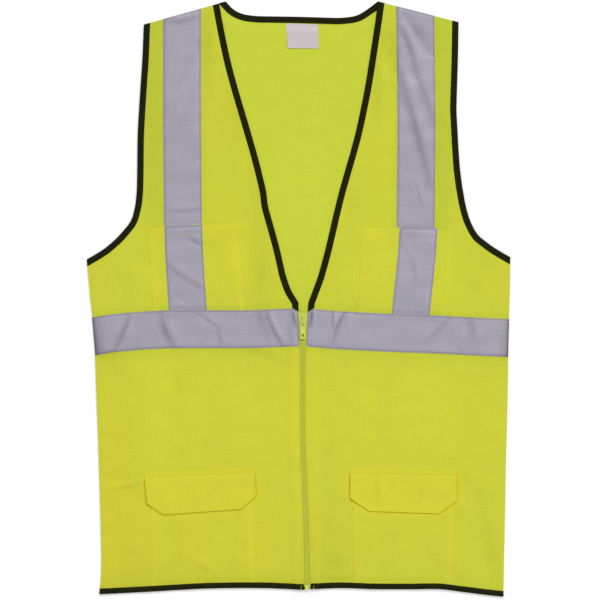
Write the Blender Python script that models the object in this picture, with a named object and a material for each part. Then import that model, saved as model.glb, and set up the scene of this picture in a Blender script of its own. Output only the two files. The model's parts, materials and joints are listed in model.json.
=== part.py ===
"""A sleeveless safety vest, zipped up and laid flat on its back.

X runs across the vest towards its wearer's left, Y from the hem to the neck, and Z up from the surface
that the vest lies on. The origin is at the middle of the vest, on that surface. Lengths are in millimetres
until MM turns them into metres.

Every cloth piece is a closed sheet with its own outline, laid at the height of what lies beneath it. From
the surface up, the layers are: reflective tape of the back, back panel, front panels, what is sewn on the
fronts (belt, shoulder tapes and pockets), and what is sewn on the pockets (tapes and flaps). Bindings are
folded round the panels' free edges. Right and left are the wearer's.
"""

import math

import bpy
from mathutils import Vector
from mathutils.geometry import delaunay_2d_cdt

MM = 0.001

# ---- Driving sizes ----

CLOTH = 1.0  # wall of a cloth piece
GAP = 0.35  # left between neighbours
END_GAP = 0.45  # left below a slanted end, measured straight down
LAYER = CLOTH + GAP  # from one layer's underside to the next one's
BACK = LAYER  # underside of the back panel
FRONT = 2 * LAYER  # underside of the front panels
ON_FRONT = 3 * LAYER  # underside of what is sewn on the fronts
ON_POCKET = 4 * LAYER  # underside of what is sewn on the pockets

GRID = 26.0  # spacing of the points inside a sheet
EDGE_STEP = 17.0  # spacing of the points along a curved edge

TAPE_WIDTH = 50.8  # reflective tape, two inches
BINDING_WIDTH = 8.2  # binding as it shows, folded
HEM_WIDTH = 7.4
BINDING_THICKNESS = 2.2

ZIP_TAPE_WIDTH = 13.0  # each side, from the zip's middle
ZIP_PANEL_EDGE = 3.3  # from the zip's middle to a front panel
CHAIN_WIDTH = 2.9  # each side's row of teeth
CHAIN_THICKNESS = 1.4
ZIP_SPLIT = 0.2  # half the gap between the two sides of the zip
ZIP_BOTTOM = -390.5
ZIP_TAPE_SHORT = 3.0  # how far above the zip's bottom its cloth tapes end

RIDGE_FULL = ZIP_TAPE_WIDTH + 0.6  # the fronts lie raised over the zip tape this far out
RIDGE_END = ZIP_TAPE_WIDTH + 7.0  # and come down to their own level here
RIDGE_TOP = -16.0
RIDGE_TOP_END = -6.0

NECK_END = -16.5  # the tips of the V's bindings
NECK_END_SLANT = (1.0, -0.62)  # direction of their slanted ends, towards the zip

# ---- Edges of the vest, as x and y of each row, from the shoulder down ----

ARMHOLE = {
    "right": [
        (-208.2, 369.8),
        (-210.0, 325),
        (-213.3, 275),
        (-216.3, 222),
        (-217.0, 170),
        (-217.9, 142),
        (-220.2, 124),
        (-225.8, 105.5),
        (-240.0, 87.3),
        (-260.9, 68.3),
        (-285.1, 53.6),
    ],
    "left": [
        (215.3, 373.0),
        (214.5, 325),
        (213.0, 275),
        (212.6, 255),
        (214.4, 219),
        (216.8, 181),
        (219.6, 157),
        (225.3, 125),
        (231.0, 106),
        (241.0, 87.2),
        (265.0, 68.3),
        (285.1, 56.6),
    ],
}
SIDE = {
    "right": [
        (-285.1, 53.6),
        (-280.5, 1),
        (-277.5, -24),
        (-274.1, -76),
        (-272.4, -125),
        (-269.9, -190),
        (-267.4, -270),
        (-265.6, -345),
        (-266.2, -373),
        (-268.2, -397.0),
    ],
    "left": [
        (285.1, 56.6),
        (284.8, 15),
        (283.5, -24),
        (282.5, -80),
        (281.4, -146),
        (279.5, -215),
        (278.1, -290),
        (276.7, -355),
        (276.0, -400.5),
    ],
}
NECK = {
    "right": [
        (-107.2, 398.1),
        (-98.3, 351),
        (-89.8, 313),
        (-79.5, 275.6),
        (-62.8, 219),
        (-52.3, 181),
        (-43.6, 144),
        (-41.4, 126),
        (-36.0, 106),
        (-25.6, 68),
        (-17.0, 31),
        (-10.0, 11.8),
        (-0.4, -4.5),
        (-0.1, NECK_END),
    ],
    "left": [
        (107.4, 400.5),
        (103.1, 370),
        (97.2, 332),
        (91.3, 294),
        (84.2, 257),
        (75.8, 219),
        (65.2, 181),
        (54.7, 144),
        (45.4, 106),
        (36.6, 68),
        (26.4, 30.6),
        (19.5, 11.8),
        (13.3, -5),
        (12.9, NECK_END),
    ],
}
HEM = {
    "right": [
        (-268.2, -397.0),
        (-237, -395.6),
        (-183, -392.6),
        (-129, -389.6),
        (-75, -388.6),
        (-40, -389.0),
        (7.3, -391.0),
    ],
    "left": [
        (16.3, -390.0),
        (59, -388.8),
        (100, -390.1),
        (150, -390.4),
        (190, -390.2),
        (221, -394.0),
        (248, -397.4),
        (276.0, -400.5),
    ],
}
BACK_NECK = [
    (-98.3, 400.5),
    (-87.4, 389.5),
    (-74.0, 383.3),
    (-57.0, 380.9),
    (0, 379.8),
    (58, 378.5),
    (79.0, 381.8),
    (95.8, 392.0),
    (106.9, 400.6),
]

# The zip's middle, from the V down
ZIP = [
    (5.8, NECK_END - GAP),
    (5.8, -130),
    (6.3, -200),
    (9.0, -270),
    (11.2, -335),
    (11.8, ZIP_BOTTOM),
]

# ---- Reflective tape: its middle line ----

BELT = {
    "right": [
        (-275.8, -50.0),
        (-253.7, -46.3),
        (-213, -42.4),
        (-180, -40.6),
        (-65, -40.2),
        (-38, -39.2),
        (0.1, -37.6),
    ],
    "left": [
        (11.5, -37.8),
        (42, -40.8),
        (83, -43.1),
        (137, -45.8),
        (190, -47.6),
        (244, -50.6),
        (283.0, -52.2),
    ],
}
BELT_END_SLANT = 1.8  # how much nearer to the zip the belt's lower corner is
SHOULDER_TAPE = {
    "right": [(-156.8, 384.2), (-156.6, 240), (-155.7, 100.2)],
    "left": [(157.2, 388.1), (158.6, 240), (157.8, 96.3)],
}
POCKET_TAPE = {
    "right": [(-155.0, 98.2), (-153.8, 60), (-149.0, -14.8)],
    "left": [(161.6, 95.2), (159.2, 60), (151.0, -20.3)],
}

# ---- Pockets and flaps ----

CHEST_POCKET = {  # outer top, inner top, inner foot, outer foot
    "right": [(-203.2, 95.9), (-82.8, 103.3), (-71.6, 0), (-194.5, 0)],
    "left": [(211.6, 94.6), (86.5, 97.8), (79.4, 0), (201.0, 0)],
}
HIP_POCKET = {
    "right": [(-201.4, -247), (-61.6, -244), (-57.6, 0), (-197.9, 0)],
    "left": [(210.2, -245), (71.2, -245), (74.0, 0), (208.6, 0)],
}
FLAP = {  # outer top, inner top, inner side, inner foot, outer foot, outer side
    "right": [
        (-207.5, -233.3),
        (-59.5, -227.1),
        (-57.2, -264.8),
        (-77.4, -282.3),
        (-181.7, -289.7),
        (-203.9, -274.9),
    ],
    "left": [
        (211.6, -229.9),
        (69.7, -228.6),
        (69.3, -267.5),
        (94.9, -285.0),
        (189.8, -288.2),
        (213.3, -270.2),
    ],
}
FLAP_SEWN = 5.0  # strip of the flap that lies on the front, along its top
FLAP_STEP = 7.0  # stretch in which it rises onto the pocket

LABEL = [(-16.8, 371.9), (26.2, 370.3), (27.0, 337.6), (-14.4, 338.2)]

# ---- Soft folds of the fronts: middle, direction, size ----

FOLD_COLUMNS = ("x", "y", "heading", "length", "width", "height")
FOLDS = [
    # right front
    (-188, -190, 88, 260, 130, 2.2),  # down the belly from the belt
    (-95, -160, 96, 200, 120, 1.6),
    (-150, 250, 93, 190, 110, 1.4),  # chest, under the shoulder tape
    (-80, 40, 60, 120, 80, 1.6),  # from the pocket to the V
    (-185, -42, 55, 90, 60, 1.0),  # across the belt
    # left front
    (178, -180, 92, 250, 130, 2.0),
    (95, -150, 84, 190, 110, 1.4),
    (140, 230, 80, 220, 100, 1.6),
    (140, 20, 100, 120, 100, 1.2),
]

# ---- Hard pieces of the zip ----

SLIDER_TOP = -19.2
SLIDER_LENGTH = 17.8
SLIDER_HALF = 5.6  # at the shoulders
SLIDER_FOOT_HALF = 3.9
SLIDER_WAIST_HALF = 2.9
PLATE_BOTTOM = ON_POCKET
PLATE_THICKNESS = 1.4
PLATE_TOP = PLATE_BOTTOM + PLATE_THICKNESS
BRIDGE_HALF = 0.95
BRIDGE_LENGTH = 15.0
BRIDGE_POST = 1.4
BRIDGE_WINDOW = 1.95
BRIDGE_ROOF = 1.1
TAB_THICKNESS = 1.2
TAB_HALF = 3.5
TAB_LENGTH = 31.5
TAB_SLOT_HALF = 1.9
TAB_SLOT_LENGTH = 13.5
TAB_BAR = 1.2
TAB_HOLE = (3.4, 3.8)  # the window near its end, across and along
TAB_HOLE_FROM_END = 4.7  # from the tab's end to the window's middle
TAB_AXIS = (SLIDER_TOP - 3.4, PLATE_TOP + GAP + TAB_THICKNESS / 2)  # y and z of the hinge
STOP_SIZE = (6.0, 6.4, 2.0)

# ---- Colours: red, green, blue, then roughness and metallic ----

FABRIC = (0.60, 0.63, 0.047, 0.85, 0.0)
INSIDE = (0.575, 0.645, 0.050, 0.85, 0.0)
DOUBLE = (0.64, 0.62, 0.044, 0.85, 0.0)
REFLECTIVE = (0.375, 0.355, 0.425, 0.45, 0.0)
BLACK = (0.013, 0.014, 0.007, 0.8, 0.0)
ZIP_CLOTH = (0.56, 0.60, 0.045, 0.8, 0.0)
ZIP_PLASTIC = (0.45, 0.50, 0.045, 0.4, 0.0)
ZIP_PAINT = (0.50, 0.58, 0.08, 0.35, 0.0)
PAPER = (0.66, 0.62, 0.66, 0.6, 0.0)


# ---- Lines ----


def curve(rows, step=EDGE_STEP):
    """A smooth line through the rows, with a point about every step."""
    rows = [Vector(row) for row in rows]
    rows = [2 * rows[0] - rows[1]] + rows + [2 * rows[-1] - rows[-2]]
    line = []
    for before, start, end, after in zip(rows, rows[1:], rows[2:], rows[3:]):
        leave, arrive = (end - before) / 2, (after - start) / 2
        pieces = max(1, round((end - start).length / step))
        for i in range(pieces):
            t = i / pieces
            line.append(
                start * (2 * t**3 - 3 * t**2 + 1)
                + leave * (t**3 - 2 * t**2 + t)
                + end * (3 * t**2 - 2 * t**3)
                + arrive * (t**3 - t**2)
            )
    return line + [rows[-2]]


def inset(line, distance, first_cut, last_cut):
    """The line moved to its own left by the distance. Its ends stay on the two cuts, given as directions."""
    moved = []
    for i, point in enumerate(line):
        along = line[min(i + 1, len(line) - 1)] - line[max(i - 1, 0)]
        across = Vector((-along.y, along.x)).normalized()
        cut = first_cut if i == 0 else last_cut if i == len(line) - 1 else across
        moved.append(point + cut * (distance / across.dot(cut)))
    return moved


def band(line, width, first_cut, last_cut):
    """Outline of a strip with the line along its middle."""
    sides = [inset(line, side * width / 2, first_cut, last_cut) for side in (1, -1)]
    return sides[0] + sides[1][::-1]


def below(outline, point, direction):
    """What is left of the outline under the straight line through the point."""
    normal = Vector((-direction.y, direction.x))
    normal = normal if normal.y < 0 else -normal
    kept = []
    for a, b in zip(outline, outline[1:] + outline[:1]):
        depth_a, depth_b = (a - point).dot(normal), (b - point).dot(normal)
        if depth_a >= 0:
            kept.append(a)
        if depth_a * depth_b < 0:
            kept.append(a + (b - a) * (depth_a / (depth_a - depth_b)))
    return kept


def y_at(line, x):
    """Height of the line at x."""
    for a, b in zip(line, line[1:]):
        if min(a.x, b.x) <= x <= max(a.x, b.x):
            return a.y + (b.y - a.y) * (x - a.x) / (b.x - a.x)
    return min(line, key=lambda point: abs(point.x - x)).y


def x_at(line, y):
    """Where the line is at height y."""
    return y_at([point.yx for point in line], y)


def stretch(line, start, end):
    """The line's points from x = start to x = end, both included, in that order."""
    low, high = min(start, end) + 1, max(start, end) - 1
    points = [Vector((x, y_at(line, x))) for x in (start, end)]
    points[1:1] = sorted(
        (p for p in line if low < p.x < high), key=lambda p: abs(p.x - start)
    )
    return points


def spread(start, end, step=EDGE_STEP):
    """Even values from start to end."""
    count = max(1, round(abs(end - start) / step))
    return [start + (end - start) * i / count for i in range(count + 1)]


# ---- Heights ----


def ramp(value, full, zero):
    """1 up to full, 0 from zero on, straight in between."""
    return min(1.0, max(0.0, (zero - value) / (zero - full)))


def swell(value, half):
    """A soft hump, 1 in the middle and 0 past the half width."""
    return 0.5 + 0.5 * math.cos(math.pi * min(1.0, abs(value) / half))


def fold_height(x, y):
    """How far the soft folds lift the fronts."""
    total = 0.0
    for row in FOLDS:
        fold = dict(zip(FOLD_COLUMNS, row))
        heading = math.radians(fold["heading"])
        dx, dy = x - fold["x"], y - fold["y"]
        along = dx * math.cos(heading) + dy * math.sin(heading)
        across = dy * math.cos(heading) - dx * math.sin(heading)
        total += (
            fold["height"]
            * swell(along, fold["length"] / 2)
            * swell(across, fold["width"] / 2)
        )
    return total


def zip_ridge(x, y):
    """How far the fronts are lifted by the zip tape beneath them."""
    off = abs(x - x_at(ZIP_LINE, y))
    return LAYER * ramp(off, RIDGE_FULL, RIDGE_END) * ramp(y, RIDGE_TOP, RIDGE_TOP_END)


def fronts(level):
    """Height function of a piece that lies on this level of the fronts."""
    return lambda x, y: level + fold_height(x, y) + zip_ridge(x, y)


def flat(level):
    return lambda x, y: level


# ---- Sheets ----


def inside(point, outline):
    """Whether the point is within the outline."""
    found = False
    for a, b in zip(outline, outline[1:] + outline[:1]):
        if (a.y > point.y) != (b.y > point.y):
            if point.x < a.x + (b.x - a.x) * (point.y - a.y) / (b.y - a.y):
                found = not found
    return found


def distance_to(point, a, b):
    """Distance from the point to the stretch from a to b."""
    run = b - a
    t = max(0.0, min(1.0, (point - a).dot(run) / run.length_squared))
    return (point - a - run * t).length


def fill(outline, creases, grid):
    """Points and triangles that fill the outline. Creases are lines that edges of triangles follow."""
    points = list(outline)
    edges = [(i, (i + 1) % len(points)) for i in range(len(points))]
    for crease in creases:
        edges += [(len(points) + i, len(points) + i + 1) for i in range(len(crease) - 1)]
        points += crease
    if grid:
        sides = [(points[a], points[b]) for a, b in edges]
        points += [
            spot
            for spot in grid_spots(outline, grid)
            if inside(spot, outline)
            and all(distance_to(spot, a, b) > grid / 3 for a, b in sides)
        ]
    points, _, triangles, _, _, _ = delaunay_2d_cdt(points, edges, [], 0, 1e-4)
    triangles = [
        triangle
        for triangle in triangles
        if inside(sum((points[i] for i in triangle), Vector((0, 0))) / 3, outline)
    ]
    used = sorted({i for triangle in triangles for i in triangle})
    place = {old: new for new, old in enumerate(used)}
    return (
        [points[i] for i in used],
        [tuple(place[i] for i in triangle) for triangle in triangles],
    )


def grid_spots(outline, grid):
    """Spots over the outline's reach, in rows that are staggered by half the spacing."""
    row_height = grid * math.sqrt(3) / 2
    xs, ys = [p.x / grid for p in outline], [p.y / row_height for p in outline]
    return [
        Vector((grid * (i + (j % 2) / 2), row_height * j))
        for i in range(math.floor(min(xs)), math.ceil(max(xs)) + 1)
        for j in range(math.floor(min(ys)), math.ceil(max(ys)) + 1)
    ]


def add_object(name, points, faces, colour, origin, soft):
    """An object with its own material, from points in millimetres. Its origin is at the given place."""
    origin = Vector(origin)
    mesh = bpy.data.meshes.new(name)
    mesh.from_pydata([(Vector(point) - origin) * MM for point in points], [], faces)
    mesh.validate()
    if soft:
        mesh.shade_smooth()
        mesh.set_sharp_from_angle(angle=math.radians(40))
    thing = bpy.data.objects.new(name, mesh)
    thing.location = origin * MM
    bpy.context.scene.collection.objects.link(thing)
    material = bpy.data.materials.new(name)
    material.use_nodes = True
    shader = material.node_tree.nodes["Principled BSDF"]
    shader.inputs["Base Color"].default_value = (*colour[:3], 1.0)
    shader.inputs["Roughness"].default_value = colour[3]
    shader.inputs["Metallic"].default_value = colour[4]
    mesh.materials.append(material)
    return thing


def sheet(name, outline, height, colour, creases=(), thickness=CLOTH, grid=GRID):
    """A piece of cloth as a closed sheet whose underside lies at height(x, y)."""
    return slab(name, outline, height, colour, creases, thickness, grid, (0, 0, 0), True)


def slab(name, outline, height, colour, creases, thickness, grid, origin, soft):
    """A closed solid between height(x, y) and a thickness above it."""
    outline = [Vector(point) for point in outline]
    spots, triangles = fill(outline, creases, grid)
    count = len(spots)
    low = [(spot.x, spot.y, height(spot.x, spot.y)) for spot in spots]
    points = low + [(x, y, z + thickness) for x, y, z in low]
    borders = {}
    for a, b, c in triangles:
        for start, end in ((a, b), (b, c), (c, a)):
            if (end, start) in borders:
                del borders[(end, start)]
            else:
                borders[(start, end)] = True
    faces = [(c, b, a) for a, b, c in triangles]
    faces += [(a + count, b + count, c + count) for a, b, c in triangles]
    faces += [(a, b, b + count, a + count) for a, b in borders]
    return add_object(name, points, faces, colour, origin, soft)


def plate(name, outline, low, high, colour, origin=(0, 0, 0)):
    """A hard piece of even thickness."""
    return slab(name, outline, flat(low), colour, (), high - low, 0, origin, False)


# ---- Lines that several pieces share ----

RIGHTWARD = Vector((1, 0))
UP = Vector((0, 1))
ZIP_LINE = curve(ZIP, 40)
SIDES = {"right": 1, "left": -1}  # 1 where the vest's middle is towards +X

armholes = {side: curve(ARMHOLE[side]) for side in SIDES}
side_edges = {side: curve(SIDE[side]) for side in SIDES}
necks = {side: curve(NECK[side]) for side in SIDES}
hems = {side: curve(HEM[side], 30) for side in SIDES}
back_neck = curve(BACK_NECK)

neck_end_cut = {
    side: Vector((-turn * NECK_END_SLANT[0], -NECK_END_SLANT[1])).normalized()
    for side, turn in SIDES.items()
}
shoulder_cut = {side: (necks[side][0] - armholes[side][0]).normalized() for side in SIDES}
underarm_cut = {
    side: (side_edges[side][1] - side_edges[side][0]).normalized() for side in SIDES
}
foot_cut = {
    side: (side_edges[side][-2] - side_edges[side][-1]).normalized() for side in SIDES
}


def armhole_inset(side, distance):
    return inset(
        armholes[side], SIDES[side] * distance, shoulder_cut[side], underarm_cut[side]
    )


def neck_inset(side, distance):
    cuts = (shoulder_cut[side], neck_end_cut[side])
    return inset(necks[side], -SIDES[side] * distance, *cuts)


def hem_inset(side, distance):
    """Runs from -X to +X, like the hem itself."""
    cuts = (foot_cut[side], UP) if side == "right" else (UP, foot_cut[side])
    return inset(hems[side], distance, *cuts)


def back_neck_inset(distance):
    return inset(back_neck, -distance, shoulder_cut["right"], shoulder_cut["left"])


def side_between(side, top, bottom):
    """Points of the side edge between two heights, from the top down."""
    margin = EDGE_STEP / 3
    return [p for p in side_edges[side] if bottom + margin < p.y < top - margin]


def zip_side(side, off, top, bottom):
    """A line beside the zip's middle, from the top down."""
    return [
        Vector((x_at(ZIP_LINE, y) - SIDES[side] * off, y)) for y in spread(top, bottom, 26)
    ]


def zip_creases(side):
    """The lines where the fronts bend as they rise over the zip tape."""
    lines = [
        zip_side(side, off, RIDGE_TOP_END + 6, ZIP_BOTTOM - 12)
        for off in (RIDGE_FULL, RIDGE_END)
    ]
    middle = x_at(ZIP_LINE, RIDGE_TOP)
    for y in (RIDGE_TOP, RIDGE_TOP_END):
        lines.append([Vector((middle - SIDES[side] * off, y)) for off in (1, 2 * RIDGE_END)])
    return lines


# ---- Pieces ----


def panel_outline(side):
    """A front, from the bindings of the armhole, V and hem to the zip."""
    clear = BINDING_WIDTH + GAP
    armhole = armhole_inset(side, clear)
    neck = neck_inset(side, clear)
    hem = hem_inset(side, HEM_WIDTH + GAP)
    if side == "left":
        hem.reverse()
    drop = Vector((0, -END_GAP))
    opening = zip_side(side, ZIP_PANEL_EDGE, NECK_END - END_GAP, hem[-1].y)
    outline = armhole + side_between(side, armhole[-1].y, hem[0].y) + hem[:-1]
    outline += opening[::-1] + [necks[side][-1] + drop, neck[-1] + drop]
    return outline + neck[::-1]


def back_panel():
    """One piece, flat, with its neck edge above the V of the fronts."""
    clear = BINDING_WIDTH + GAP
    right, left = (armhole_inset(side, clear) for side in SIDES)
    hem = hem_inset("right", HEM_WIDTH + GAP) + hem_inset("left", HEM_WIDTH + GAP)
    outline = right + side_between("right", right[-1].y, hem[0].y) + hem
    outline += side_between("left", left[-1].y, hem[-1].y)[::-1] + left[::-1]
    outline += back_neck_inset(clear)[::-1]
    sheet("back_panel", outline, flat(BACK), INSIDE, grid=0)


def bindings():
    """Black strips along every free edge. Those of the back lie on the surface, those of the fronts above."""
    for side in SIDES:
        armhole = armholes[side] + armhole_inset(side, BINDING_WIDTH)[::-1]
        neck = necks[side] + neck_inset(side, BINDING_WIDTH)[::-1]
        hem = hems[side] + hem_inset(side, HEM_WIDTH)[::-1]
        for name, outline, height in (
            (f"armhole_binding_front_{side}", armhole, fronts(FRONT)),
            (f"armhole_binding_back_{side}", armhole, flat(0)),
            (f"neck_binding_{side}", neck, fronts(FRONT)),
            (f"hem_binding_{side}", hem, fronts(FRONT)),
        ):
            bends = zip_creases(side) if name.startswith(("neck", "hem")) else ()
            sheet(name, outline, height, BLACK, bends, BINDING_THICKNESS, grid=0)
    neck = back_neck + back_neck_inset(BINDING_WIDTH)[::-1]
    sheet("neck_binding_back", neck, flat(0), BLACK, (), BINDING_THICKNESS, grid=0)
    hem = hems["right"] + hems["left"]
    hem += (hem_inset("right", HEM_WIDTH) + hem_inset("left", HEM_WIDTH))[::-1]
    sheet("hem_binding_back", hem, flat(0), BLACK, (), BINDING_THICKNESS, grid=0)


def belt_line(side):
    return curve(BELT[side], 26)


def belt_cut(side):
    """Direction of the side edge beside the belt."""
    return (side_edges[side][3] - side_edges[side][2]).normalized()


def above_belt(side):
    """The line just above the belt, where the pieces over it end."""
    return inset(belt_line(side), TAPE_WIDTH / 2 + GAP, UP, UP)


def belt_outline(side):
    """The belt's stretch on a front, from the side edge to the zip."""
    slant = Vector((SIDES[side] * BELT_END_SLANT, -TAPE_WIDTH)).normalized()
    cuts = (belt_cut(side), slant) if side == "right" else (slant, belt_cut(side))
    outline = band(belt_line(side), TAPE_WIDTH, *cuts)
    return below(outline, necks[side][-1] - Vector((0, END_GAP)), neck_end_cut[side])


def pocket_outline(corners, below):
    """A patch from its upper corners down to the line below it."""
    outer_top, inner_top, inner_foot, outer_foot = (Vector(corner) for corner in corners)
    return [outer_top] + stretch(below, outer_foot.x, inner_foot.x) + [inner_top]


def pieces_on_front(side):
    """Outline, level and colour of each piece that is sewn on a front, or on one that is."""
    pocket_top = Vector(CHEST_POCKET[side][1]) - Vector(CHEST_POCKET[side][0])
    mouth = pocket_top.normalized()
    shoulder = curve(SHOULDER_TAPE[side], GRID)
    lower = curve(POCKET_TAPE[side], GRID)
    chest = pocket_outline(CHEST_POCKET[side], above_belt(side))
    hip = pocket_outline(HIP_POCKET[side], hem_inset(side, HEM_WIDTH + GAP))
    return {
        "belt_tape": (belt_outline(side), ON_FRONT, REFLECTIVE),
        "shoulder_tape": (
            band(shoulder, TAPE_WIDTH, shoulder_cut[side], mouth),
            ON_FRONT,
            REFLECTIVE,
        ),
        "chest_pocket": (chest, ON_FRONT, DOUBLE),
        "pocket_tape": (band(lower, TAPE_WIDTH, mouth, RIGHTWARD), ON_POCKET, REFLECTIVE),
        "hip_pocket": (hip, ON_FRONT, FABRIC),
        "pocket_flap": ([Vector(corner) for corner in FLAP[side]], ON_FRONT, DOUBLE),
    }


def flap_depth(side, spot):
    """How far the spot is below the flap's sewn edge."""
    start, end = (Vector(corner) for corner in FLAP[side][:2])
    along = (end - start).normalized()
    return (spot - start).dot(Vector((along.y, -along.x)) * SIDES[side])


def flap_creases(side):
    """The lines between which a flap rises from the front onto the pocket."""
    start, end = (Vector(corner) for corner in FLAP[side][:2])
    along = (end - start).normalized()
    down = Vector((along.y, -along.x)) * SIDES[side]
    return [
        [start + down * depth - along, end + down * depth + along]
        for depth in (FLAP_SEWN, FLAP_SEWN + FLAP_STEP)
    ]


def over_pocket(side):
    """Height function of a flap: sewn on the front along its top, and over the pocket below."""

    def height(x, y):
        depth = flap_depth(side, Vector((x, y)))
        rise = ramp(-depth, -FLAP_SEWN - FLAP_STEP, -FLAP_SEWN)
        return fronts(ON_FRONT)(x, y) + LAYER * rise

    return height


def fronts_and_what_is_on_them():
    """All pieces of a front bend along the same lines, so that they lie on each other without a gap."""
    for side in SIDES:
        pieces = pieces_on_front(side)
        lines = zip_creases(side) + flap_creases(side)
        lines += [outline + outline[:1] for outline, _, _ in pieces.values()]
        sheet(f"front_panel_{side}", panel_outline(side), fronts(FRONT), FABRIC, lines)
        for name, (outline, level, colour) in pieces.items():
            height = over_pocket(side) if name == "pocket_flap" else fronts(level)
            sheet(f"{name}_{side}", outline, height, colour, lines)


def back_tapes():
    """The belt across the back, and the strips that come down to it from the shoulders."""
    line = belt_line("right") + belt_line("left")
    outline = band(line, TAPE_WIDTH, *(belt_cut(side) for side in SIDES))
    sheet("belt_tape_back", outline, flat(0), REFLECTIVE, grid=0)
    for side in SIDES:
        top = Vector(SHOULDER_TAPE[side][0])
        edges = [top.x + half for half in (-TAPE_WIDTH / 2, TAPE_WIDTH / 2)]
        outline = stretch(above_belt(side), *edges)
        slope = shoulder_cut[side].y / shoulder_cut[side].x
        outline += [Vector((x, top.y + slope * (x - top.x))) for x in edges[::-1]]
        sheet(f"back_tape_{side}", outline, flat(0), REFLECTIVE, grid=0)


def label():
    sheet("neck_label", LABEL, flat(FRONT), PAPER, grid=0)


def zip_strips():
    """The cloth tapes beneath the fronts and the rows of teeth between them."""
    tape_top, tape_foot = NECK_END - 2 * GAP, ZIP_BOTTOM + ZIP_TAPE_SHORT
    chain_top = SLIDER_TOP - SLIDER_LENGTH - GAP
    chain_foot = ZIP_BOTTOM + STOP_SIZE[1] + GAP
    for side in SIDES:
        inner = zip_side(side, ZIP_SPLIT, tape_top, tape_foot)
        outer = zip_side(side, ZIP_TAPE_WIDTH, tape_top, tape_foot)
        sheet(f"zip_tape_{side}", inner + outer[::-1], flat(FRONT), ZIP_CLOTH, grid=0)
        inner = zip_side(side, ZIP_SPLIT, chain_top, chain_foot)
        outer = zip_side(side, CHAIN_WIDTH, chain_top, chain_foot)
        sheet(
            f"zip_chain_{side}",
            inner + outer[::-1],
            flat(ON_FRONT),
            ZIP_PLASTIC,
            (),
            CHAIN_THICKNESS,
            grid=0,
        )


def cutter(name, outline, low, high):
    """A prism that another piece is cut with or joined to. It isn't a piece itself."""
    thing = plate(name, outline, low, high, BLACK)
    thing.hide_render = True
    thing.display_type = "WIRE"
    return thing


def combine(target, helper, operation):
    change = target.modifiers.new(helper.name, "BOOLEAN")
    change.operation = operation
    change.object = helper


def box_outline(x, y, width, length, corner=0.0):
    """A rectangle round (x, y), with its corners cut off by a quarter circle of four points."""
    outline = []
    for turn in range(4):
        sx, sy = ((1, 1), (-1, 1), (-1, -1), (1, -1))[turn]
        middle = Vector((x + sx * (width / 2 - corner), y + sy * (length / 2 - corner)))
        steps = 4 if corner else 1
        for i in range(steps):
            angle = math.radians(90 * (turn + (i / (steps - 1) if corner else 0.5)))
            outline.append(middle + corner * Vector((math.cos(angle), math.sin(angle))))
    return outline


def stand_up(thing, x):
    """Turns a prism drawn in Y and Z so that its thickness runs along X, from x."""
    for vertex in thing.data.vertices:
        y, z, depth = vertex.co
        vertex.co = (x * MM + depth, y, z)


def slider():
    """A shouldered plate over the zip, its waist between the rows of teeth, and a bridge for the tab."""
    x = x_at(ZIP_LINE, SLIDER_TOP)
    foot = SLIDER_TOP - SLIDER_LENGTH
    half_outline = [
        (SLIDER_HALF - 1.6, SLIDER_TOP),
        (SLIDER_HALF - 0.4, SLIDER_TOP - 0.6),
        (SLIDER_HALF, SLIDER_TOP - 2.2),
        (SLIDER_HALF, SLIDER_TOP - 7.5),
        (SLIDER_FOOT_HALF, foot + 4.0),
        (SLIDER_FOOT_HALF, foot + 0.8),
        (SLIDER_FOOT_HALF - 0.8, foot),
    ]
    outline = [(x + off, y) for off, y in half_outline]
    outline += [(x - off, y) for off, y in half_outline[::-1]]
    body = plate("zip_slider", outline, PLATE_BOTTOM, PLATE_TOP, ZIP_PAINT)
    middle = (SLIDER_TOP + foot) / 2
    waist = box_outline(x, middle, 2 * SLIDER_WAIST_HALF, SLIDER_LENGTH - 1.0)
    combine(body, cutter("slider_waist", waist, ON_FRONT, PLATE_BOTTOM + 0.5), "UNION")
    top = PLATE_TOP + BRIDGE_WINDOW + BRIDGE_ROOF
    reach = BRIDGE_LENGTH
    start = SLIDER_TOP - 0.8
    arch = [
        (start, PLATE_TOP - 0.5),
        (start, top - 1.5),
        (start - 0.5, top - 0.5),
        (start - 1.6, top),
        (start - reach + 2.4, top),
        (start - reach + 0.8, top - 0.7),
        (start - reach, top - 2.0),
        (start - reach, PLATE_TOP - 0.5),
    ]
    bridge = cutter("slider_bridge", arch, 0, 2 * BRIDGE_HALF)
    window = box_outline(
        start - reach / 2,
        PLATE_TOP + BRIDGE_WINDOW / 2,
        reach - 2 * BRIDGE_POST,
        BRIDGE_WINDOW,
    )
    hole = cutter("slider_window", window, -1, 2 * BRIDGE_HALF + 1)
    for thing in (bridge, hole):
        stand_up(thing, x - BRIDGE_HALF)
    combine(body, bridge, "UNION")
    combine(body, hole, "DIFFERENCE")


def pull_tab():
    """A flat tab whose upper bar turns inside the bridge. It lies down along the zip."""
    x = x_at(ZIP_LINE, SLIDER_TOP)
    y, z = TAB_AXIS
    low, high = z - TAB_THICKNESS / 2, z + TAB_THICKNESS / 2
    top = y + TAB_BAR / 2
    outline = box_outline(x, top - TAB_LENGTH / 2, 2 * TAB_HALF, TAB_LENGTH, 1.2)
    tab = plate("zip_pull_tab", outline, low, high, ZIP_PAINT, (x, y, z))
    slot_top = y - TAB_BAR / 2
    slot = box_outline(
        x, slot_top - TAB_SLOT_LENGTH / 2, 2 * TAB_SLOT_HALF, TAB_SLOT_LENGTH, 0.8
    )
    combine(tab, cutter("tab_slot", slot, low - 1, high + 1), "DIFFERENCE")
    hole_y = top - TAB_LENGTH + TAB_HOLE_FROM_END
    hole = box_outline(x, hole_y, *TAB_HOLE, 0.5)
    combine(tab, cutter("tab_hole", hole, low - 1, high + 1), "DIFFERENCE")


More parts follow.
